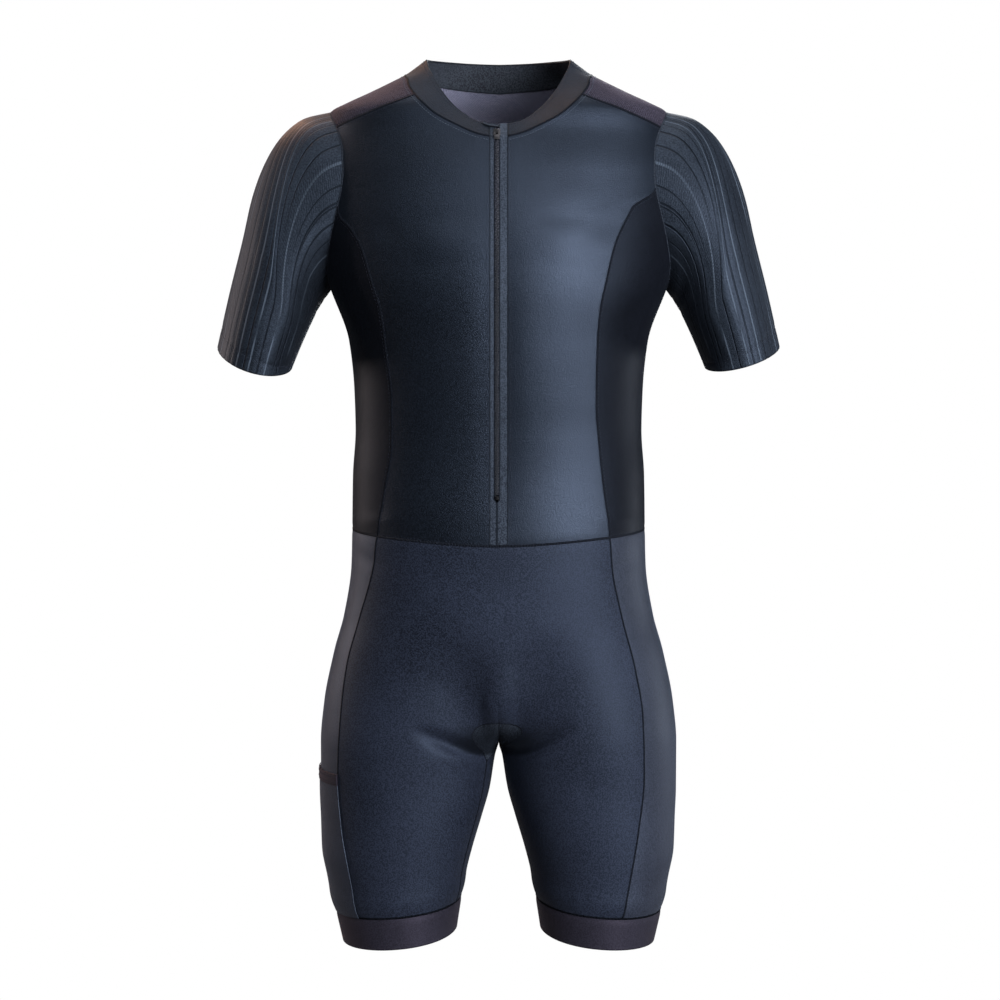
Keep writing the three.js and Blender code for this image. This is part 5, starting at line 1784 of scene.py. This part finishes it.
# %% Metal of the slider
METAL = Finish("lacquered_zip_metal", Metallic=0.75, Specular_IOR_Level=0.5)
metal_grain = METAL.noise(METAL.position(), 700.0, 3.0)
metal_wear = METAL.noise(METAL.position(), 160.0, 4.0)
METAL.feed(
    Base_Color=METAL.blend(metal_wear.step(0.35, 0.65), colour(22, 22, 26), colour(74, 73, 77)),
    Roughness=metal_wear * 0.25 + 0.22,
    Normal=METAL.bump(metal_grain, 0.6, 0.00003),
)
for part in bpy.data.objects:
    if part.get("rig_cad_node", part.name) in ("zip_slider", "zip_stop", "pull_tab"):
        for held in part.material_slots:
            held.material = METAL.material
        print("new finish on", part.name, "slots", len(part.material_slots))

# %% [markdown]
# ## Floor, light and camera
# Dark sportswear is photographed on white, but a white room would fog the cloth with its own
# reflection. So the backdrop is white only to the camera, and the cloth sees a dim room, as with
# black flags beside the figure. A tall soft box in front, to the right of the picture, draws the
# upright band of sheen on the chest. Two warm ones on the left pick out that edge and shoulder,
# a cool one the other hip, and weaker ones fill in from above, in front and behind.

# %% Stage
floor = bpy.data.meshes.new("floor")
FAR, FLOOR_Z = 20, -1.02
corners = [(-FAR, -FAR, FLOOR_Z), (FAR, -FAR, FLOOR_Z), (FAR, FAR, FLOOR_Z), (-FAR, FAR, FLOOR_Z)]
floor.from_pydata(corners, [], [(0, 1, 2, 3)])
floor_piece = bpy.data.objects.new("floor", floor)
bpy.context.scene.collection.objects.link(floor_piece)


def white_to_the_camera(tree, plain, surface):
    """The camera sees an even white; every other ray meets the plain, dimmer shader."""
    ray = tree.nodes.new("ShaderNodeLightPath")
    white = tree.nodes.new("ShaderNodeEmission")
    white.inputs["Color"].default_value = (1, 1, 1, 1)
    white.inputs["Strength"].default_value = 1.0
    choice = tree.nodes.new("ShaderNodeMixShader")
    tree.links.new(ray.outputs["Is Camera Ray"], choice.inputs["Fac"])
    tree.links.new(plain, choice.inputs[1])
    tree.links.new(white.outputs["Emission"], choice.inputs[2])
    tree.links.new(choice.outputs["Shader"], surface)


GREY = (0.12, 0.12, 0.12, 1)
FLOOR = Finish("floor_paint", Roughness=0.9, Specular_IOR_Level=0.0, Base_Color=GREY)
white_to_the_camera(
    FLOOR.tree, FLOOR.shader.outputs["BSDF"], FLOOR.tree.nodes["Material Output"].inputs["Surface"]
)
floor.materials.append(FLOOR.material)

world = bpy.data.worlds.new("studio")
world.use_nodes = True
studio = world.node_tree
room = studio.nodes["Background"]
room.inputs["Color"].default_value = (1, 1, 1, 1)
room.inputs["Strength"].default_value = 0.05
white_to_the_camera(
    studio, room.outputs["Background"], studio.nodes["World Output"].inputs["Surface"]
)
bpy.context.scene.world = world
bpy.context.scene.view_settings.view_transform = "Standard"


def soft_light(name, place, aim, width, height, watts, tint):
    """A soft box that faces a point; the strength is for the whole box."""
    data = bpy.data.lights.new(name, "AREA")
    data.shape, data.size, data.size_y = "RECTANGLE", width, height
    data.energy, data.color = watts, tint
    light = bpy.data.objects.new(name, data)
    light.location = place
    light.rotation_euler = (Vector(aim) - Vector(place)).to_track_quat("-Z", "Y").to_euler()
    bpy.context.scene.collection.objects.link(light)


SOFT_BOXES = {
    # place, the point that it faces, width, height, watts, tint
    "key": ((1.62, -2.1, 0.0), (0, 0, -0.34), 1.25, 1.9, 86, (0.94, 0.97, 1.0)),
    "front": ((-0.2, -2.4, 1.5), (0, 0, -0.1), 1.2, 0.9, 14, (0.93, 0.97, 1.0)),
    "left_edge": ((-2.1, 0.75, 0.1), (0, 0, -0.2), 0.8, 1.6, 16, (1.0, 0.84, 0.78)),
    "left_shoulder": ((-1.0, 1.1, 1.2), (-0.1, 0, -0.05), 0.5, 0.5, 14, (1.0, 0.55, 0.34)),
    "right_edge": ((2.3, 0.9, -1.0), (0, 0, -0.8), 0.8, 0.9, 12, (0.88, 0.93, 1.0)),
    "top": ((0, 0.1, 1.9), (0, 0, -0.3), 1.6, 1.2, 18, (1.0, 1.0, 1.0)),
    "back": ((0.2, 2.6, 0.5), (0, 0, -0.4), 0.9, 2.0, 40, (0.92, 0.96, 1.0)),
}
for name, box in SOFT_BOXES.items():
    soft_light(name, *box)
print("soft boxes:", len(bpy.data.lights))

# %% [markdown]
# ## Camera
# The photo was taken from straight in front, a little above the lower edge of the chest. A
# long lens keeps the legs from looking thin. The tilt puts the suit in the same place.

# %% Camera
CAMERA_PLACE, LENS, TILT_DOWN = (0.0015, -2.4, -0.229), 83.9, 4.9
camera_data = bpy.data.cameras.new("camera")
camera_data.sensor_width = 36
camera_data.lens = LENS
camera = bpy.data.objects.new("camera", camera_data)
camera.location = CAMERA_PLACE
camera.rotation_euler = (np.radians(90 - TILT_DOWN), 0, 0)
bpy.context.scene.collection.objects.link(camera)
bpy.context.scene.camera = camera
print("camera at", CAMERA_PLACE, "with a lens of", LENS, "mm")
